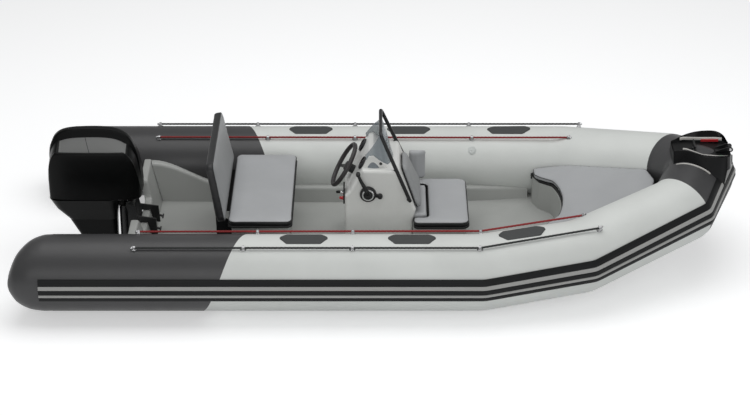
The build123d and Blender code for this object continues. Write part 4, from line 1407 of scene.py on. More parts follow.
def even_loop(outline):
    """The closed outline again with points this far apart."""
    outline = np.asarray(outline, float)
    closed = np.vstack([outline, outline[:1]])
    length = run_length(closed)
    at = np.linspace(0, length[-1], max(12, int(length[-1] / STITCH_GAP)), endpoint=False)
    return np.stack([np.interp(at, length, closed[:, k]) for k in range(closed.shape[1])], 1)


SWELL_ROOM = 0.55                     # share of the swelling that the block leaves room for
BOARD_GAP = 0.001


def cushion(name, outline, low, high, place, cap, seam, body, edge=0.012, size=0.012,
            top=CUSHION_GREY, nodes=()):
    """One pad on this body. outline and heights are in the pad's own plane, and place lays them in the
    boat. The seam is the height where the top panel meets the black band."""
    block = slab(f"{name}_block", shrink(outline, cap * SWELL_ROOM), low + BOARD_GAP,
                 high - cap * SWELL_ROOM, edge, None, place=place, sharp=None)
    inflate(block, cap, size)
    origin = place(np.array([[[0.0, 0.0, seam]]]))[0, 0]
    above = place(np.array([[[0.0, 0.0, seam + 1.0]]]))[0, 0]
    normal = unit(above - origin)
    level_split(block, Vector(origin), Vector(normal))
    paint_band(block, lambda centres: (centres - origin) @ normal < 0, top, CUSHION_BLACK)
    loop = even_loop(shrink(outline, cap * 0.3))
    spots = place(np.column_stack([loop, np.full(len(loop), seam)])[None])[0]
    made = fit(join(name, block, piping(f"{name}_piping", spots, block)), body, "cushion")
    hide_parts(*nodes)
    return made


def flat(grid):
    """A pad that lies level: its own axes are the boat's."""
    return np.asarray(grid, float)


# %% Bench and console seat
SEAM_DOWN = 0.012                     # from a seat's top to its seam
BENCH_X, BENCH_HALF, BENCH_Z = (-1.124, -0.630), 0.603, (0.502, 0.547)
SEAT_X, SEAT_HALF, SEAT_Z = (0.262, 0.697), 0.398, (0.390, 0.435)
NOTCH = [(0.352, 0.293), (0.372, 0.265)]          # hollow round the console's front

bench_outline = rounded([(BENCH_X[0], -BENCH_HALF), (BENCH_X[1], -BENCH_HALF), (BENCH_X[1], BENCH_HALF),
                         (BENCH_X[0], BENCH_HALF)], 0.055, 8)
cushion("bench_cushion_pad", bench_outline, BENCH_Z[0], BENCH_Z[1], flat, 0.009, BENCH_Z[1] - SEAM_DOWN,
        "bench_lid", nodes=["bench_cushion"])

seat_outline = rounded(
    [(SEAT_X[0], -SEAT_HALF), (SEAT_X[1], -SEAT_HALF), (SEAT_X[1], SEAT_HALF), (SEAT_X[0], SEAT_HALF),
     (SEAT_X[0], 0.293), NOTCH[0], NOTCH[1], (NOTCH[1][0], -NOTCH[1][1]), (NOTCH[0][0], -NOTCH[0][1]),
     (SEAT_X[0], -0.293)],
    [0.045, 0.07, 0.07, 0.045, 0.02, 0, 0.012, 0.012, 0, 0.02], 6)
cushion("console_seat_pad", seat_outline, SEAT_Z[0], SEAT_Z[1], flat, 0.008, SEAT_Z[1] - SEAM_DOWN,
        "console_seat_lid", nodes=["console_seat_cushion"])
# a fixed pad fills the hollow below the backrest, so that the lid's own pad can pass in front of it
infill = rounded([(0.262, -0.261), (0.373, -0.261), (0.373, 0.261), (0.262, 0.261)], 0.012, 4)
cushion("console_infill_pad", infill, SEAT_Z[0], SEAT_Z[1] - 0.001, flat, 0.002, SEAT_Z[0] + 0.010,
        "hull", edge=0.006)

# %% [markdown]
# The bow cushion climbs forward and hugs the tubes. Its aft edge is hollow, like the locker under it.
# The backrests lean: the pad's own plane is turned, and its outline is a trapezium.

# %% Bow cushion
BOW_SLOPE, BOW_ORIGIN = 0.206, (1.300, 0.445)
BOW_T = 0.045


def on_bow(grid):
    """Height is counted down from the sloping top of the bow cushion."""
    grid = np.asarray(grid, float)
    out = grid.copy()
    out[..., 2] = BOW_ORIGIN[1] + BOW_SLOPE * (grid[..., 0] - BOW_ORIGIN[0]) + grid[..., 2]
    return out


def bow_outline():
    """Plan: a circular hollow aft, then straight sides that close in towards the bow."""
    mid, side = np.array([1.402, 0.0]), np.array([1.352, 0.300])
    sag = mid[0] - side[0]
    r = (side[1] ** 2 + sag ** 2) / (2 * sag)
    a = np.linspace(-1, 1, 15) * math.asin(side[1] / r)
    hollow = np.column_stack([mid[0] - r + r * np.cos(a), r * np.sin(a)])
    tip = np.array([2.126, 0.0])
    port = rounded([side, (1.262, 0.410), (1.226, 0.470), (1.222, 0.592), (1.489, 0.546),
                    (2.085, 0.210), tip], [0, 0.04, 0.03, 0.02, 0.2, 0.03, 0], 5)[1:-1]
    return np.vstack([hollow, port, tip, port[::-1] * (1, -1)])


cushion("bow_cushion_pad", bow_outline(), -BOW_T, 0.0, on_bow, 0.008, -SEAM_DOWN, "bow_lid",
        nodes=["bow_cushion"])


# %% Backrests
def leaning(foot, head):
    """A plane through two points of the X Z section: across is Y, up runs from foot to head, and the
    third number is how far the surface stands out towards the person who leans on it."""
    foot, head = np.asarray(foot, float), np.asarray(head, float)
    up = unit(head - foot)
    out = np.array([up[1], -up[0]])

    def place(grid):
        grid = np.asarray(grid, float)
        x = foot[0] + up[0] * grid[..., 1] + out[0] * grid[..., 2]
        z = foot[1] + up[1] * grid[..., 1] + out[1] * grid[..., 2]
        return np.stack([x, grid[..., 0], z], -1)

    return place, float(np.linalg.norm(head - foot))


def trapezium(foot_half, head_half, height, head_corner):
    """The outline of a backrest that narrows upwards."""
    return rounded([(-foot_half, 0.0), (foot_half, 0.0), (head_half, height), (-head_half, height)],
                   [0.05, 0.05, head_corner, head_corner], 9)


BACK_FOOT, BACK_HEAD, BACK_T = (-1.158, 0.502), (-1.245, 0.964), 0.064
LEAN_FOOT, LEAN_HEAD, LEAN_T = (0.316, 0.463), (0.188, 0.788), 0.046

place, height = leaning(BACK_FOOT, BACK_HEAD)
outline = trapezium(0.590, 0.522, height, 0.070)
cushion("bench_backrest_pad", outline, -BACK_T / 2, BACK_T / 2, place, 0.008, 0.025, "hull",
        edge=0.010, top=CUSHION_BACK, nodes=["bench_backrest"])

place, height = leaning(LEAN_FOOT, LEAN_HEAD)
outline = trapezium(0.262, 0.150, height, 0.055)
cushion("console_backrest_pad", outline, -LEAN_T / 2, LEAN_T / 2, place, 0.007, -0.014, "hull",
        edge=0.014, top=CUSHION_BACK, nodes=["console_backrest"])

SIDE_REST = [(0.238, 0.336), (0.300, 0.336), (0.374, 0.378), (0.374, 0.394), (0.238, 0.394)]
cushion("seat_side_rest_pad", rounded(SIDE_REST, 0.012, 5), 0.4355, 0.680, flat, 0.004, 0.30,
        "console_seat_lid", edge=0.018, size=0.007, nodes=["seat_side_rest"])

# %% [markdown]
# ## Boxes, boards and hinges
# Under the cushions are open moulded boxes with a black board for each lid. A board shows as a dark
# line below its cushion. Steel hinges join each lid to its box: the knuckles of both lie in one line.

# %% Boxes and boards
TRAY_LOW, WALL, FOOT_EDGE = 0.0305, 0.016, 0.006


def tray(name, outline, high):
    """An open box: the skin goes up the outside, over a rounded rim, down the inside to its floor."""
    outline = np.asarray(outline, float)
    turn = np.linspace(0, math.pi, 7)
    steps = [(FOOT_EDGE, TRAY_LOW), (0.0, TRAY_LOW + FOOT_EDGE)]
    steps += [(WALL / 2 - WALL / 2 * math.cos(t), high - WALL / 2 + WALL / 2 * math.sin(t))
              for t in turn]
    steps += [(WALL, TRAY_LOW + WALL + 0.01), (WALL + 0.01, TRAY_LOW + WALL)]
    grid = np.array([np.column_stack([shrink(outline, inset), np.full(len(outline), z)])
                     for inset, z in steps])
    return soften(skin(name, grid, GELCOAT), 50.0)


def board(name, outline, low, high):
    """The plate that a lid's cushion is fixed to."""
    return slab(name, outline, low, high, 0.003, BOARD, steps=3, sharp=50.0)


KNUCKLE_R, KNUCKLE_HALF, KNUCKLE_END = 0.006, 0.008, 0.0245
LEAF_REACH, LEAF_RISE, LEAF_EDGE = 0.0085, 0.0085, 0.0006


# %% Hinges
def knuckles(name, x, z, ys):
    """Two butt hinges: a fixed knuckle with its leaf, and the lid's two knuckles beside it."""
    still, turning = [], []

    def barrel(y0, y1):
        r = KNUCKLE_R
        return disc("barrel", (x, y0, z), (0.0, 1.0, 0.0),
                    [(0.0005, 0.0), (r - 0.001, 0.0), (r, 0.001), (r, y1 - y0 - 0.001),
                     (r - 0.001, y1 - y0), (0.0005, y1 - y0)], STEEL, 20)

    for y in ys:
        still.append(barrel(y - KNUCKLE_HALF, y + KNUCKLE_HALF))
        still.append(slab("leaf", oblong(x - LEAF_REACH, x, y - 0.008, y + 0.008, 0.001, 2),
                          z - 0.006, z - 0.003, LEAF_EDGE, STEEL, steps=2))
        for side in (1, -1):
            y0, y1 = sorted((y + side * (KNUCKLE_HALF + 0.0005), y + side * KNUCKLE_END))
            turning.append(barrel(y0, y1))
            turning.append(slab("leaf", oblong(x - 0.003, x + 0.003, y0, y1, 0.001, 2), z,
                                z + LEAF_RISE, LEAF_EDGE, STEEL, steps=2))
    return join(f"{name}_still", *still), join(f"{name}_turning", *turning)


def lid(name, body, box, panel, x, z, ys):
    """A box with its hinges, and the lid's board with the other half of them."""
    still, turning = knuckles(name, x, z, ys)
    fit(join(f"{name}_box_moulding", box, still), "hull", "gelcoat", f"{name}_base")
    fit(join(f"{name}_lid_panel", panel, turning), body, "board", f"{name}_lid_board")


lid("bench", "bench_lid", tray("box", oblong(-1.093, -0.675, -0.543, 0.543, 0.03), 0.484),
    board("board", shrink(bench_outline, 0.007), 0.486, 0.5015), -0.667, 0.478, (0.400, -0.400))
lid("console_seat", "console_seat_lid", tray("box", oblong(0.264, 0.672, -0.353, 0.353, 0.03), 0.372),
    board("board", shrink(seat_outline, 0.006), 0.374, 0.3895), 0.680, 0.366, (0.240, -0.240))


# %% [markdown]
# ## Helm
# The console is one moulding: a box with a sloping front, a level top and a raised hood for the two
# instruments. A tinted screen wraps round it, and a bent steel rail guards the screen.

# %% Finishes of the helm
def tinted_acrylic(name, colour):
    """Thin tinted sheet: part of what is behind shows through, and the sheet itself is glossy."""
    paint = Paint(name)
    vector, _ = paint.place()
    smear = paint.noise(vector, 8.0, 4.0, 0.6)
    paint.set(base_color=paint.mix(smear, tint(colour, 0.94), tint(colour, 1.06)),
              roughness=smear * 0.06 + 0.03, alpha=smear * 0.08 + 0.52, specular_ior_level=0.6)
    return paint.material


def lamp_lens(name, colour):
    """Moulded clear lens with fine vertical prisms, whose ridges are painted paler as a painted
    highlight.
    """
    paint = Paint(name)
    vector, (x, _, _) = paint.place()
    prism = x.wave(0.004)
    dust = paint.noise(vector, 60.0, 4.0)
    # painted highlight along the prisms' ridges
    paint.set(base_color=paint.mix(prism * 0.3, colour, tint(colour, 1.3)),
              roughness=dust * 0.12 + 0.14, coat_weight=0.6, coat_roughness=0.05)
    paint.set(normal=paint.bump(prism, 0.0006))
    return paint.material


def grip_leather(name, colour):
    """Stitched grip: round holes in rows, painted dark inside as painted shade, worn smoother on top.
    """
    paint = Paint(name)
    vector, _ = paint.place()
    hole = paint.cells(vector, 260.0)
    wear = paint.noise(vector, 18.0, 4.0)
    # painted shade: the holes are darker inside
    tone = paint.mix(hole.smooth(0.1, 0.4), tint(colour, 0.55), colour)
    paint.set(base_color=tone, roughness=wear * 0.2 + 0.42)
    paint.set(normal=paint.bump(hole.smooth(0.1, 0.45), 0.0004))
    return paint.material


def dial_face(name):
    """Matt black card, a shade lighter at its middle."""
    paint = Paint(name)
    vector, _ = paint.place()
    cloud = paint.noise(vector, 40.0, 3.0)
    paint.set(base_color=paint.mix(cloud, shade(14), shade(24, 25, 28)), roughness=cloud * 0.1 + 0.55)
    return paint.material


# %% Colours of the helm
SCREEN_TINT = tinted_acrylic("screen", shade(146, 156, 162))
RED_LENS = lamp_lens("red_lens", shade(178, 30, 36))
GREEN_LENS = lamp_lens("green_lens", shade(24, 118, 62))
GRIP = grip_leather("grip", shade(52, 49, 50))
DIAL = dial_face("dial")
MARK_WHITE = satin_plastic("mark_white", shade(225, 226, 224), 0.4)
CHROME = bright_metal("chrome", (0.78, 0.78, 0.79), 0.08)
# A paler, lit copy of the gelcoat for the console: painted light, set against the cockpit's painted
# shade.
CONSOLE_LIT_GELCOAT = gelcoat("console_lit_gelcoat", shade(224, 225, 222))

dress("console", CONSOLE_LIT_GELCOAT)
dress("windscreen", SCREEN_TINT)
dress("grab_rail", BLACK_METAL)

# %% Screen fasteners
studs = []
for y in (-0.226, 0.226):
    out = unit((0.15, y / abs(y), 0.35))
    studs.append(disc("stud", np.array([0.020, y, 0.842]) + out * 0.006, out,
                      [(0.0005, -0.014), (0.011, -0.014), (0.011, 0.003), (0.008, 0.006),
                       (0.0005, 0.007)], BLACK_PLASTIC, 20))
fit(join("screen_studs", *studs), "hull", "black_plastic")

# %% Instruments
def facing_aft(degrees):
    """Out of a plane that leans back this much from upright, and up along it."""
    lean = math.radians(degrees)
    return (np.array([-math.cos(lean), 0.0, math.sin(lean)]),
            np.array([math.sin(lean), 0.0, math.cos(lean)]))


DASH_AT = (-0.114, 0.818)
GAUGE_Y, GAUGE_R = 0.162, 0.052
TICKS, LONG_TICK = 24, 4              # steps round the dial, and every how many a long one
DASH_OUT, DASH_UP = facing_aft(29.0)


def gauge(name, y, reading):
    """Bezel, card, ticks round three quarters of a turn, a needle and its cap."""
    centre = np.array([DASH_AT[0], y, DASH_AT[1]])
    across = np.cross(DASH_UP, DASH_OUT)
    r = GAUGE_R
    bezel = disc(f"{name}_bezel", centre, DASH_OUT,
                 [(r - 0.003, -0.004), (r, 0.0), (r, 0.009), (r - 0.003, 0.0135), (r - 0.007, 0.0145),
                  (r - 0.009, 0.012), (r - 0.010, 0.006), (r - 0.010, -0.004)], BLACK_PLASTIC, 56)
    card = disc(f"{name}_card", centre, DASH_OUT,
                [(0.0005, 0.004), (r - 0.009, 0.004), (r - 0.009, -0.002), (0.0005, -0.002)], DIAL, 40)
    parts = [bezel, card]

    def ray(angle, inner, outer, width, material, lift=0.0046):
        way = DASH_UP * math.cos(angle) + across * math.sin(angle)
        route = [centre + DASH_OUT * lift + way * s for s in (inner, (inner + outer) / 2, outer)]
        return tube_along(f"{name}_ray", route, width, material, 6)

    for k in range(TICKS + 1):
        inner, wide = (0.019, 0.0009) if k % LONG_TICK == 0 else (0.015, 0.0005)
        parts.append(ray(math.radians(-135 + 270 * k / TICKS), r - inner, r - 0.0115, wide, MARK_WHITE))
    parts.append(ray(math.radians(reading), -0.006, r - 0.017, 0.0011, RED_LENS, 0.0062))
    parts.append(disc(f"{name}_cap", centre + DASH_OUT * 0.004, DASH_OUT,
                      [(0.006, 0.0), (0.006, 0.003), (0.004, 0.005), (0.0005, 0.0055)],
                      BLACK_PLASTIC, 20))
    return join(name, *parts)


fit(join("gauges_instruments", gauge("gauge_port", GAUGE_Y, -135.0),
         gauge("gauge_star", -GAUGE_Y, -112.0)), "hull", "black_plastic", "gauges")

# %% [markdown]
# The steering wheel is a thick padded ring on three flat spokes that dish down to a hub. The ring's
# section is an oval that stands across the plane of the wheel, with finger bumps on the inside.

# %% Steering wheel
WHEEL_AT = np.array([-0.258, 0.0, 0.730])
WHEEL_R, RIM_R = 0.172, 0.0155
WHEEL_UP, WHEEL_TOP = facing_aft(30.0)
WHEEL_SIDE = np.array([0.0, 1.0, 0.0])


def wheel_rim():
    """An oval carried round a circle. Twenty shallow dents press into its inner side."""
    turn = np.linspace(0, 2 * np.pi, 144, endpoint=False)
    round_ = np.linspace(0, 2 * np.pi, 20, endpoint=False)
    out = np.cos(turn)[:, None] * WHEEL_SIDE + np.sin(turn)[:, None] * WHEEL_TOP
    bumps = 1 - 0.09 * (np.cos(20 * turn)[:, None] > 0.2) * np.clip(-np.cos(round_), 0, 1)[None] ** 2
    section = RIM_R * bumps
    grid = (WHEEL_AT + out[:, None] * (WHEEL_R + section * np.cos(round_)[None])[..., None]
            + (section * 1.12 * np.sin(round_)[None])[..., None] * WHEEL_UP)
    return skin("rim", grid, GRIP, loop=True)


def spoke(angle):
    """Flat bar that widens towards the hub and dishes down to it."""
    a = math.radians(angle)
    way = WHEEL_SIDE * math.cos(a) + WHEEL_TOP * math.sin(a)
    across = np.cross(WHEEL_UP, way)
    rows = []
    for s, width, deep, thick in ((0.018, 0.021, -0.024, 0.004), (0.060, 0.017, -0.022, 0.004),
                                  (0.110, 0.012, -0.014, 0.0035), (0.150, 0.011, -0.004, 0.0035),
                                  (0.166, 0.013, 0.0, 0.004)):
        ring_points = oblong(-width, width, -thick, thick, 0.0025, 3)
        middle = WHEEL_AT + way * s + WHEEL_UP * deep
        rows.append(middle + ring_points[:, :1] * across + ring_points[:, 1:] * WHEEL_UP)
    return soften(skin("spoke", np.array(rows), BLACK_METAL), 40.0)


hub = disc("hub", WHEEL_AT, WHEEL_UP,
           [(0.0005, -0.041), (0.034, -0.041), (0.037, -0.036), (0.037, -0.016), (0.034, -0.011),
            (0.026, -0.008), (0.0005, -0.006)], BLACK_PLASTIC, 40)
fit(join("steering_wheel_ring", wheel_rim(), hub, *[spoke(a) for a in (90, 210, 330)]),
    "steering_wheel", "black_plastic", "steering_wheel")
dress("helm_bezel", BLACK_PLASTIC)

# %% [markdown]
# The engine control bolts to the console's side: a black housing with a bright ring, and a bent lever
# with a round knob. Below the wheel a small panel carries the key and a stop switch.

# %% Engine control and panel
SIDE_Y = -0.285
CONTROL = np.array([-0.075, SIDE_Y, 0.620])


def side_disc(name, x, z, profile, material, turns=44):
    """A turned part that stands out to starboard from the console's side."""
    return disc(name, (x, SIDE_Y, z), (0.0, -1.0, 0.0), profile, material, turns)


housing = side_disc("housing", CONTROL[0], CONTROL[2],
                    [(0.062, 0.0005), (0.062, 0.016), (0.058, 0.023), (0.050, 0.026), (0.045, 0.026)],
                    BLACK_PLASTIC)
bright_ring = side_disc("bright_ring", CONTROL[0], CONTROL[2],
                        [(0.047, 0.022), (0.0465, 0.028), (0.043, 0.031), (0.036, 0.031),
                         (0.034, 0.027), (0.034, 0.022)], CHROME)
boss = side_disc("boss", CONTROL[0], CONTROL[2],
                 [(0.036, 0.020), (0.034, 0.026), (0.030, 0.028), (0.029, 0.045), (0.025, 0.049),
                  (0.0005, 0.050)], BLACK_PLASTIC)
small = side_disc("small_boss", 0.015, 0.604,
                  [(0.020, 0.0005), (0.020, 0.024), (0.016, 0.029), (0.0005, 0.030)], BLACK_PLASTIC, 28)
bridge_outline = rounded([(-0.075, 0.602), (0.015, 0.592), (0.015, 0.616), (-0.075, 0.638)], 0.004, 4)
bridge = slab("bridge", bridge_outline, SIDE_Y - 0.020, SIDE_Y - 0.0005, 0.003, BLACK_PLASTIC,
              plane="xz")
lever_route = bent([(-0.074, SIDE_Y - 0.038, 0.628), (-0.100, SIDE_Y - 0.039, 0.690),
                    (-0.128, SIDE_Y - 0.041, 0.742), (-0.144, SIDE_Y - 0.044, 0.786)], 0.03, 6)
lever = tube_along("lever", lever_route, np.linspace(0.017, 0.0115, len(lever_route)),
                   BLACK_PLASTIC, 16)
knob = disc("knob", (-0.148, SIDE_Y - 0.044, 0.800), (0.0, -1.0, 0.0),
            [(0.0005, -0.024), (0.011, -0.023), (0.016, -0.017), (0.0175, -0.004), (0.0175, 0.010),
             (0.015, 0.019), (0.010, 0.025), (0.0005, 0.026)], BLACK_PLASTIC, 28)
fit(join("throttle_control", housing, bright_ring, boss, small, bridge, lever, knob), "hull",
    "black_plastic", "throttle")

# %% Switch panel
PANEL_X = -0.262
plate = slab("plate", oblong(-0.262, -0.150, 0.520, 0.660, 0.012, 5), PANEL_X, -0.2505, 0.004,
             BLACK_PLASTIC, plane="yz")


def pointing_aft(name, y, z, profile, material):
    """A turned part that stands out of the panel."""
    return disc(name, (PANEL_X, y, z), unit((-1.0, 0.0, 0.12)), profile, material, 24)


key_lock = pointing_aft("key_lock", -0.200, 0.590,
                        [(0.016, -0.002), (0.016, 0.008), (0.013, 0.011), (0.009, 0.012),
                         (0.009, 0.020), (0.0005, 0.020)], CHROME)
key = slab("key", oblong(-0.318, -0.284, 0.583, 0.607, 0.010, 5), -0.2015, -0.1985, 0.001,
           BLACK_PLASTIC, plane="xz")
stop = pointing_aft("stop_switch", -0.235, 0.560,
                    [(0.014, -0.002), (0.014, 0.010), (0.011, 0.013), (0.011, 0.026),
                     (0.009, 0.030), (0.0005, 0.031)], RED_LENS)
fit(join("switch_panel_plate", plate, key_lock, key, stop), "hull", "black_plastic", "switch_panel")


# %% [markdown]
# ## Bow step and fittings
# A black moulding saddles the bow tube: a sunk walkway between two raised sides whose outer walls
# flare down to the tube. Its half section changes evenly along x, so a short table of sections gives
# the whole shell. Pale curbs edge the walkway, and the two navigation lights stand against them, red
# to port and green to starboard.

# %% Bow step
def deck_black(name, colour):
    """Glossy moulding that shows fine dust, with a worn walkway."""
    paint = Paint(name)
    vector, (_, y, _) = paint.place()
    dust = paint.noise(vector, 30.0, 6.0, 0.7)
    wave = paint.noise(vector, 5.0, 3.0)
    walk = 1 - y.absolute().smooth(0.10, 0.16)
    tone = paint.mix(dust.smooth(0.5, 0.85) * 0.4, colour, tint(colour, 1.8, 0.002))
    paint.set(base_color=tone, roughness=walk * 0.14 + (dust * 0.16 + 0.16), specular_ior_level=0.22)
    paint.set(normal=paint.bump(wave, 0.0012))
    return paint.material


STEP_BLACK = deck_black("step_black", shade(8, 9, 10))
TRIM_PALE = satin_plastic("trim_pale", shade(190, 188, 184), 0.34)
STEP_ROWS = np.array([                # x, deck z, curb y, side's peak y and z, foot y
    (2.238, 0.872, 0.070, 0.098, 0.884, 0.140),
    (2.325, 0.878, 0.098, 0.145, 0.912, 0.186),
    (2.445, 0.852, 0.148, 0.226, 0.909, 0.250),
    (2.575, 0.846, 0.162, 0.240, 0.908, 0.276),
    (2.640, 0.844, 0.155, 0.200, 0.894, 0.232),
    (2.668, 0.842, 0.105, 0.128, 0.868, 0.150),
])
CURB_H, STEP_EDGE = 0.034, 0.012
SKIRT_FRONT = 0.800                   # the skirt stays above the strake


def on_bow_tube(x, y, out=0.0):
    """Height of the bow tube's upper skin, grown by out, above places in plan."""
    a, b = CENTRES[BEND_BOW], CENTRES[STEM]
    length = np.linalg.norm((b - a)[:2])
    run = (b - a)[:2] / length
    off_x, off_y = x - a[0], np.abs(y) - a[1]
    t = (off_x * run[0] + off_y * run[1]) / length
    aside = off_x * run[1] - off_y * run[0]
    radius = RADII[BEND_BOW] * (1 - t) + RADII[STEM] * t + out
    return a[2] + (b - a)[2] * t + np.sqrt(np.clip(radius ** 2 - aside ** 2, 0.0, None))


def drawn_in(row, way):
    """The section once more, a little smaller and a little further out."""
    middle = np.array([row[0, 0], 0.0, 0.80])
    return middle + (row - middle) * (1, 0.95, 0.93) + (way * STEP_EDGE / 2, 0, 0)


def step_shell():
    """Half section from the centre out: level deck, a short rise at the curb, a slope up to the peak,
    a round edge and the wall down to the foot. Both ends are drawn in a little, to round them."""
    rows = smooth_table(STEP_ROWS, 44)
    x, deck, curb, peak_y, peak_z, foot = (rows[:, k, None] for k in range(6))
    foot_z = np.maximum(on_bow_tube(x, foot) - 0.012, np.clip((x - 2.50) / 0.12, 0, 1) * SKIRT_FRONT)
    turn = np.linspace(0, np.pi / 2, 5)
    y = np.hstack([curb * (0.33, 0.66, 1.0), curb + 0.018, curb + 0.026, (curb + peak_y) / 2 + 0.012,
                   peak_y - STEP_EDGE + STEP_EDGE * np.sin(turn), foot])
    z = np.hstack([deck, deck, deck, deck + 0.002, deck + 0.012, (deck + peak_z) / 2 + 0.008,
                   peak_z - STEP_EDGE + STEP_EDGE * np.cos(turn), foot_z])
    y = np.hstack([-y[:, ::-1], 0 * x, y])
    z = np.hstack([z[:, ::-1], deck, z])
    grid = np.stack([np.broadcast_to(x, y.shape), y, z], -1)
    aft, front = (drawn_in(grid[k], way) for k, way in ((0, -1), (-1, 1)))
    grid = np.concatenate([aft[None], grid, front[None]])
    return soften(skin("bow_step_shell", grid, STEP_BLACK), 40.0)


fit(step_shell(), "hull", "gelcoat", "bow_step")

# %% Curbs
SKIRT_LINE = [(2.250, 0.156), (2.285, 0.178), (2.390, 0.236), (2.490, 0.278)]


def deck_z(x):
    """Height of the walkway."""
    return np.interp(x, STEP_ROWS[:, 0], STEP_ROWS[:, 1])


trims = []
for side in (1, -1):
    x = np.linspace(2.300, 2.630, 24)
    y = side * (np.interp(x, STEP_ROWS[:, 0], STEP_ROWS[:, 2]) + 0.006)
    top = deck_z(x) + CURB_H
    route = np.stack([x, y, top - 0.008], -1)
    square = np.array([(-1, -1.4), (1, -1.4), (1, 0.6), (0.6, 1), (-0.6, 1), (-1, 0.6)]) * 0.008
    grid = route[:, None] + np.stack([0 * square[:, 0], square[:, 0], square[:, 1]], -1)[None]
    trims.append(soften(skin("curb", grid, TRIM_PALE), 50.0))
    rim = smooth_table([(x, side * y) for x, y in SKIRT_LINE], 24)
    rim = np.column_stack([rim, on_bow_tube(rim[:, 0], rim[:, 1], 0.003)])
    trims.append(tube_along("skirt_trim", rim, 0.007, TRIM_PALE, 10))
fit(join("bow_step_trims", *trims), "hull", "gelcoat", "bow_step_rails")

# %% Navigation lights
LAMP_DECK = 0.848


def lamp(name, side, lens):
    """Long low lens on a black base, against the curb's inner face."""
    y0, y1 = sorted((side * 0.142, side * 0.154))
    base = slab(f"{name}_base", oblong(2.460, 2.612, y0 - 0.001, y1 + 0.001, 0.004, 4), LAMP_DECK,
                LAMP_DECK + 0.006, 0.001, STEP_BLACK)
    glass = slab(f"{name}_glass", oblong(2.468, 2.604, y0, y1, 0.005, 5), LAMP_DECK + 0.002,
                 LAMP_DECK + 0.026, 0.004, lens)
    return join(name, base, glass)


fit(lamp("nav_light_port_lens", 1, RED_LENS), "hull", "red_lens", "nav_light_port")
fit(lamp("nav_light_starboard_lens", -1, GREEN_LENS), "hull", "green_lens", "nav_light_starboard")

# %% Anchor roller
DECK = float(deck_z(2.600)) - 0.0005


def cheek(y0):
    """One side of the roller bracket: a plate with a round nose."""
    outline = rounded([(2.560, DECK), (2.690, DECK + 0.006), (2.690, DECK + 0.044),
                       (2.640, DECK + 0.044), (2.580, DECK + 0.020), (2.560, DECK + 0.012)],
                      [0.002, 0.019, 0.019, 0.012, 0.010, 0.004], 6)
    return slab("cheek", outline, y0, y0 + 0.006, 0.0015, BLACK_METAL, plane="xz")


base = slab("roller_base", oblong(2.560, 2.630, -0.038, 0.038, 0.010), DECK, DECK + 0.006, 0.002,
            BLACK_METAL)
roller = disc("roller", (2.668, -0.024, DECK + 0.028), (0.0, 1.0, 0.0),
              [(0.0005, 0.0), (0.015, 0.0), (0.017, 0.003), (0.013, 0.014), (0.011, 0.024),
               (0.013, 0.034), (0.017, 0.045), (0.015, 0.048), (0.0005, 0.048)], BLACK_PLASTIC, 32)
pin = disc("roller_pin", (2.668, -0.044, DECK + 0.028), (0.0, 1.0, 0.0),
           [(0.0005, 0.0), (0.009, 0.0), (0.010, 0.002), (0.010, 0.005), (0.006, 0.006), (0.006, 0.082),
            (0.010, 0.083), (0.010, 0.086), (0.009, 0.088), (0.0005, 0.088)], STEEL, 24)
fit(join("bow_roller_bracket", base, cheek(-0.038), cheek(0.032), roller, pin), "hull",
    "black_metal", "bow_roller")

# %% Cleat
CLEAT_X, HORN_HALF = 2.400, 0.070
CLEAT_Z = float(deck_z(CLEAT_X))
horn_y = np.linspace(-HORN_HALF, HORN_HALF, 21)
horns = np.array([(CLEAT_X, y, CLEAT_Z + 0.034 + 0.010 * (y / HORN_HALF) ** 2) for y in horn_y])
horn_r = 0.0088 - 0.0040 * np.abs(np.linspace(-1, 1, 21)) ** 3
feet = [disc("cleat_foot", (CLEAT_X, y, CLEAT_Z), (0.0, 0.0, 1.0),
             [(0.0005, 0.0), (0.016, 0.0), (0.016, 0.003), (0.010, 0.007), (0.008, 0.012),
              (0.008, 0.032)], BLACK_METAL, 28) for y in (-0.024, 0.024)]
fit(join("bow_cleat_horn", tube_along("horn", horns, horn_r, BLACK_METAL, 14), *feet), "hull",
    "black_metal", "bow_cleat")

# %% Towing eyes and locker
dress("bow_eye", STEEL)
dress("stern_eyes", STEEL)
tucked("bow_locker_moulding", "bow_locker", GELCOAT, "gelcoat")
dress("bow_lid_board", BOARD)
pull = slab("pull", oblong(1.926, 1.938, 0.110, 0.175, 0.003, 3), 0.0, 0.0015, 0.0006, BLACK_PLASTIC,
            place=on_bow)
fit(pull, "bow_lid", "black_plastic")


# %% [markdown]
# ## Outboard engine
# The cowl is worked out as sections across the boat, one for each x from its aft end to its front. A
# narrow hoop arches over the middle from aft to front, and on both sides of it the top is sunk: a
# grey panel slopes from the hoop's foot out to the raised lip of the flank. Each section takes its
# crest height and its width from one short table, so the hoop follows the side view's outline.

# %% Engine finishes
SEAM_SLANT, SEAM_AT = 0.48, 1.742     # the panel's seam leans aft as it rises


def gloss_paint(name, colour, panel=None):
    """Black lacquer: orange peel and faint dust. A panel's colour fills the sunk top behind the
    hoop."""
    paint = Paint(name)
    vector, (x, _, z) = paint.place()
    peel = paint.noise(vector, 260.0, 2.0)
    dust = paint.noise(vector, 16.0, 6.0, 0.7)
    tone = paint.mix(dust.smooth(0.5, 0.85) * 0.35, colour, tint(colour, 1.5, 0.0008))
    rough = dust * 0.14 + 0.28
    if panel:
        _, (u, _) = paint.along("panel")
        seam = 1 - (x + z * SEAM_SLANT + SEAM_AT).absolute().smooth(0.0012, 0.0024)
        inside = u.smooth(0.47, 0.53)
        tone = paint.mix(inside, tone, paint.mix(seam, panel, colour))
        rough = rough + inside * 0.12
    paint.set(base_color=tone, roughness=rough, specular_ior_level=0.13)
    paint.set(normal=paint.bump(peel, 0.00004))
    return paint.material


ENGINE_BLACK = gloss_paint("engine_black", shade(5, 6, 6))
COWL_PAINT = gloss_paint("cowl_paint", shade(5, 6, 6), shade(112, 113, 112))

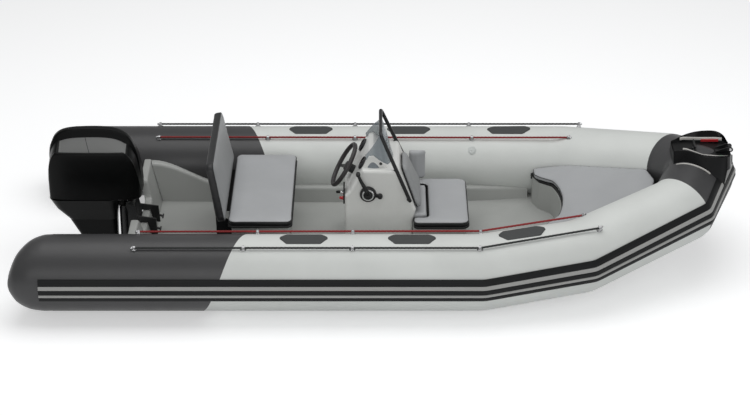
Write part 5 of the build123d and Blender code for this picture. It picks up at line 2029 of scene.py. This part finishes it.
# %% Cowl
COWL_LOW, FLANK_Z = 0.505, 0.905      # lower edge, and the lip between flank and sunk panel
HOOP_HALF, HOOP_DEPTH = 0.034, 0.050
SINK_DEPTH, HOOP_ROUND, LIP_ROUND = 0.014, 0.016, 0.020
COWL_ROWS = np.array([                # x, crest z, half width
    (-2.500, 0.640, 0.090),
    (-2.496, 0.780, 0.132),
    (-2.482, 0.900, 0.158),
    (-2.440, 0.985, 0.174),
    (-2.360, 1.028, 0.184),
    (-2.220, 1.042, 0.189),
    (-2.060, 1.040, 0.190),
    (-1.960, 1.018, 0.186),
    (-1.885, 0.965, 0.176),
    (-1.838, 0.875, 0.160),
    (-1.815, 0.760, 0.140),
    (-1.804, 0.640, 0.108),
])


def ease(value, low, high):
    """0 below low, 1 above high, an eased step between."""
    t = np.clip((value - low) / (high - low), 0, 1)
    return t * t * (3 - 2 * t)


def cowl():
    """Half section from the crest out: hoop, its foot, sunk panel, lip, flank, lower edge. Where the
    crest is low, the panel closes up and the section is a plain rounded one."""
    rows = smooth_table(COWL_ROWS, 90)
    x, crest, wide = (rows[:, k, None] for k in range(3))
    tall = crest - COWL_LOW
    lip_z = np.minimum(FLANK_Z, crest - np.minimum(0.09, tall * 0.30))
    hoop_y = np.minimum(HOOP_HALF, wide * 0.3)
    foot_z = np.maximum(crest - HOOP_DEPTH, lip_z + 0.3 * (crest - lip_z))
    sink = SINK_DEPTH * ease(x, -2.425, -2.392) * (1 - ease(x, -1.915, -1.880))
    lip_y = wide * 0.86
    turn = np.linspace(0, np.pi / 2, 6)
    hoop = np.hstack([0 * x, hoop_y - HOOP_ROUND + HOOP_ROUND * np.sin(turn)])
    hoop_z = np.hstack([crest, crest - HOOP_ROUND + HOOP_ROUND * np.cos(turn)])
    t = np.array([0.0, 0.04, 0.2, 0.4, 0.6, 0.8, 0.96, 1.0])
    panel_y = hoop_y + 0.012 + (lip_y - hoop_y - 0.012) * t
    panel_z = foot_z + (lip_z - foot_z) * (0.75 * t + 0.25 * t ** 2) - sink
    lip_round_y = lip_y + 0.004 + LIP_ROUND * np.sin(turn)
    lip_round_z = lip_z - LIP_ROUND * 0.9 * (1 - np.cos(turn))
    s = np.array([0.12, 0.3, 0.5, 0.7, 0.85, 0.95])
    flank_y = lip_round_y[:, -1:] + (wide - lip_round_y[:, -1:]) * np.sin(np.pi * np.minimum(s, 0.55)) \
        - wide * 0.085 * ease(s, 0.5, 1.0)
    flank_z = lip_round_z[:, -1:] - (lip_round_z[:, -1:] - COWL_LOW) * s
    foot_y = flank_y[:, -1:]
    low_y = np.hstack([foot_y - 0.001, foot_y - 0.008, foot_y * 0.5])
    low_z = np.broadcast_to(np.array([COWL_LOW + 0.006, COWL_LOW, COWL_LOW]), low_y.shape)
    y = np.hstack([hoop, panel_y, lip_round_y, flank_y, low_y])
    z = np.hstack([hoop_z, panel_z, lip_round_z, flank_z, low_z])
    mark = np.hstack([0 * hoop, 0 * panel_y + (t > 0.01) * (t < 0.99), 0 * lip_round_y, 0 * flank_y,
                      0 * low_y])
    mark = mark * (sink > 0.6 * SINK_DEPTH)
    y, z, mark = (np.hstack([side, side[:, :0:-1]]) for side in (y, z, mark))
    count = y.shape[1] // 2
    y[:, count + 1:] *= -1
    grid = np.stack([np.broadcast_to(x, y.shape), y, z], -1)
    made = skin("engine_cowl_shell", grid, COWL_PAINT)
    write_uv(made.data, "panel", np.stack([mark, 0 * mark], -1))
    return soften(made, 38.0)


fit(cowl(), "outboard_engine", "engine_black", "engine_cowl")
for node in ("engine_leg", "gearcase", "propeller"):
    dress(node, ENGINE_BLACK)
for node in ("clamp_brackets", "swivel_bracket", "backrest_brackets"):
    dress(node, BLACK_METAL)
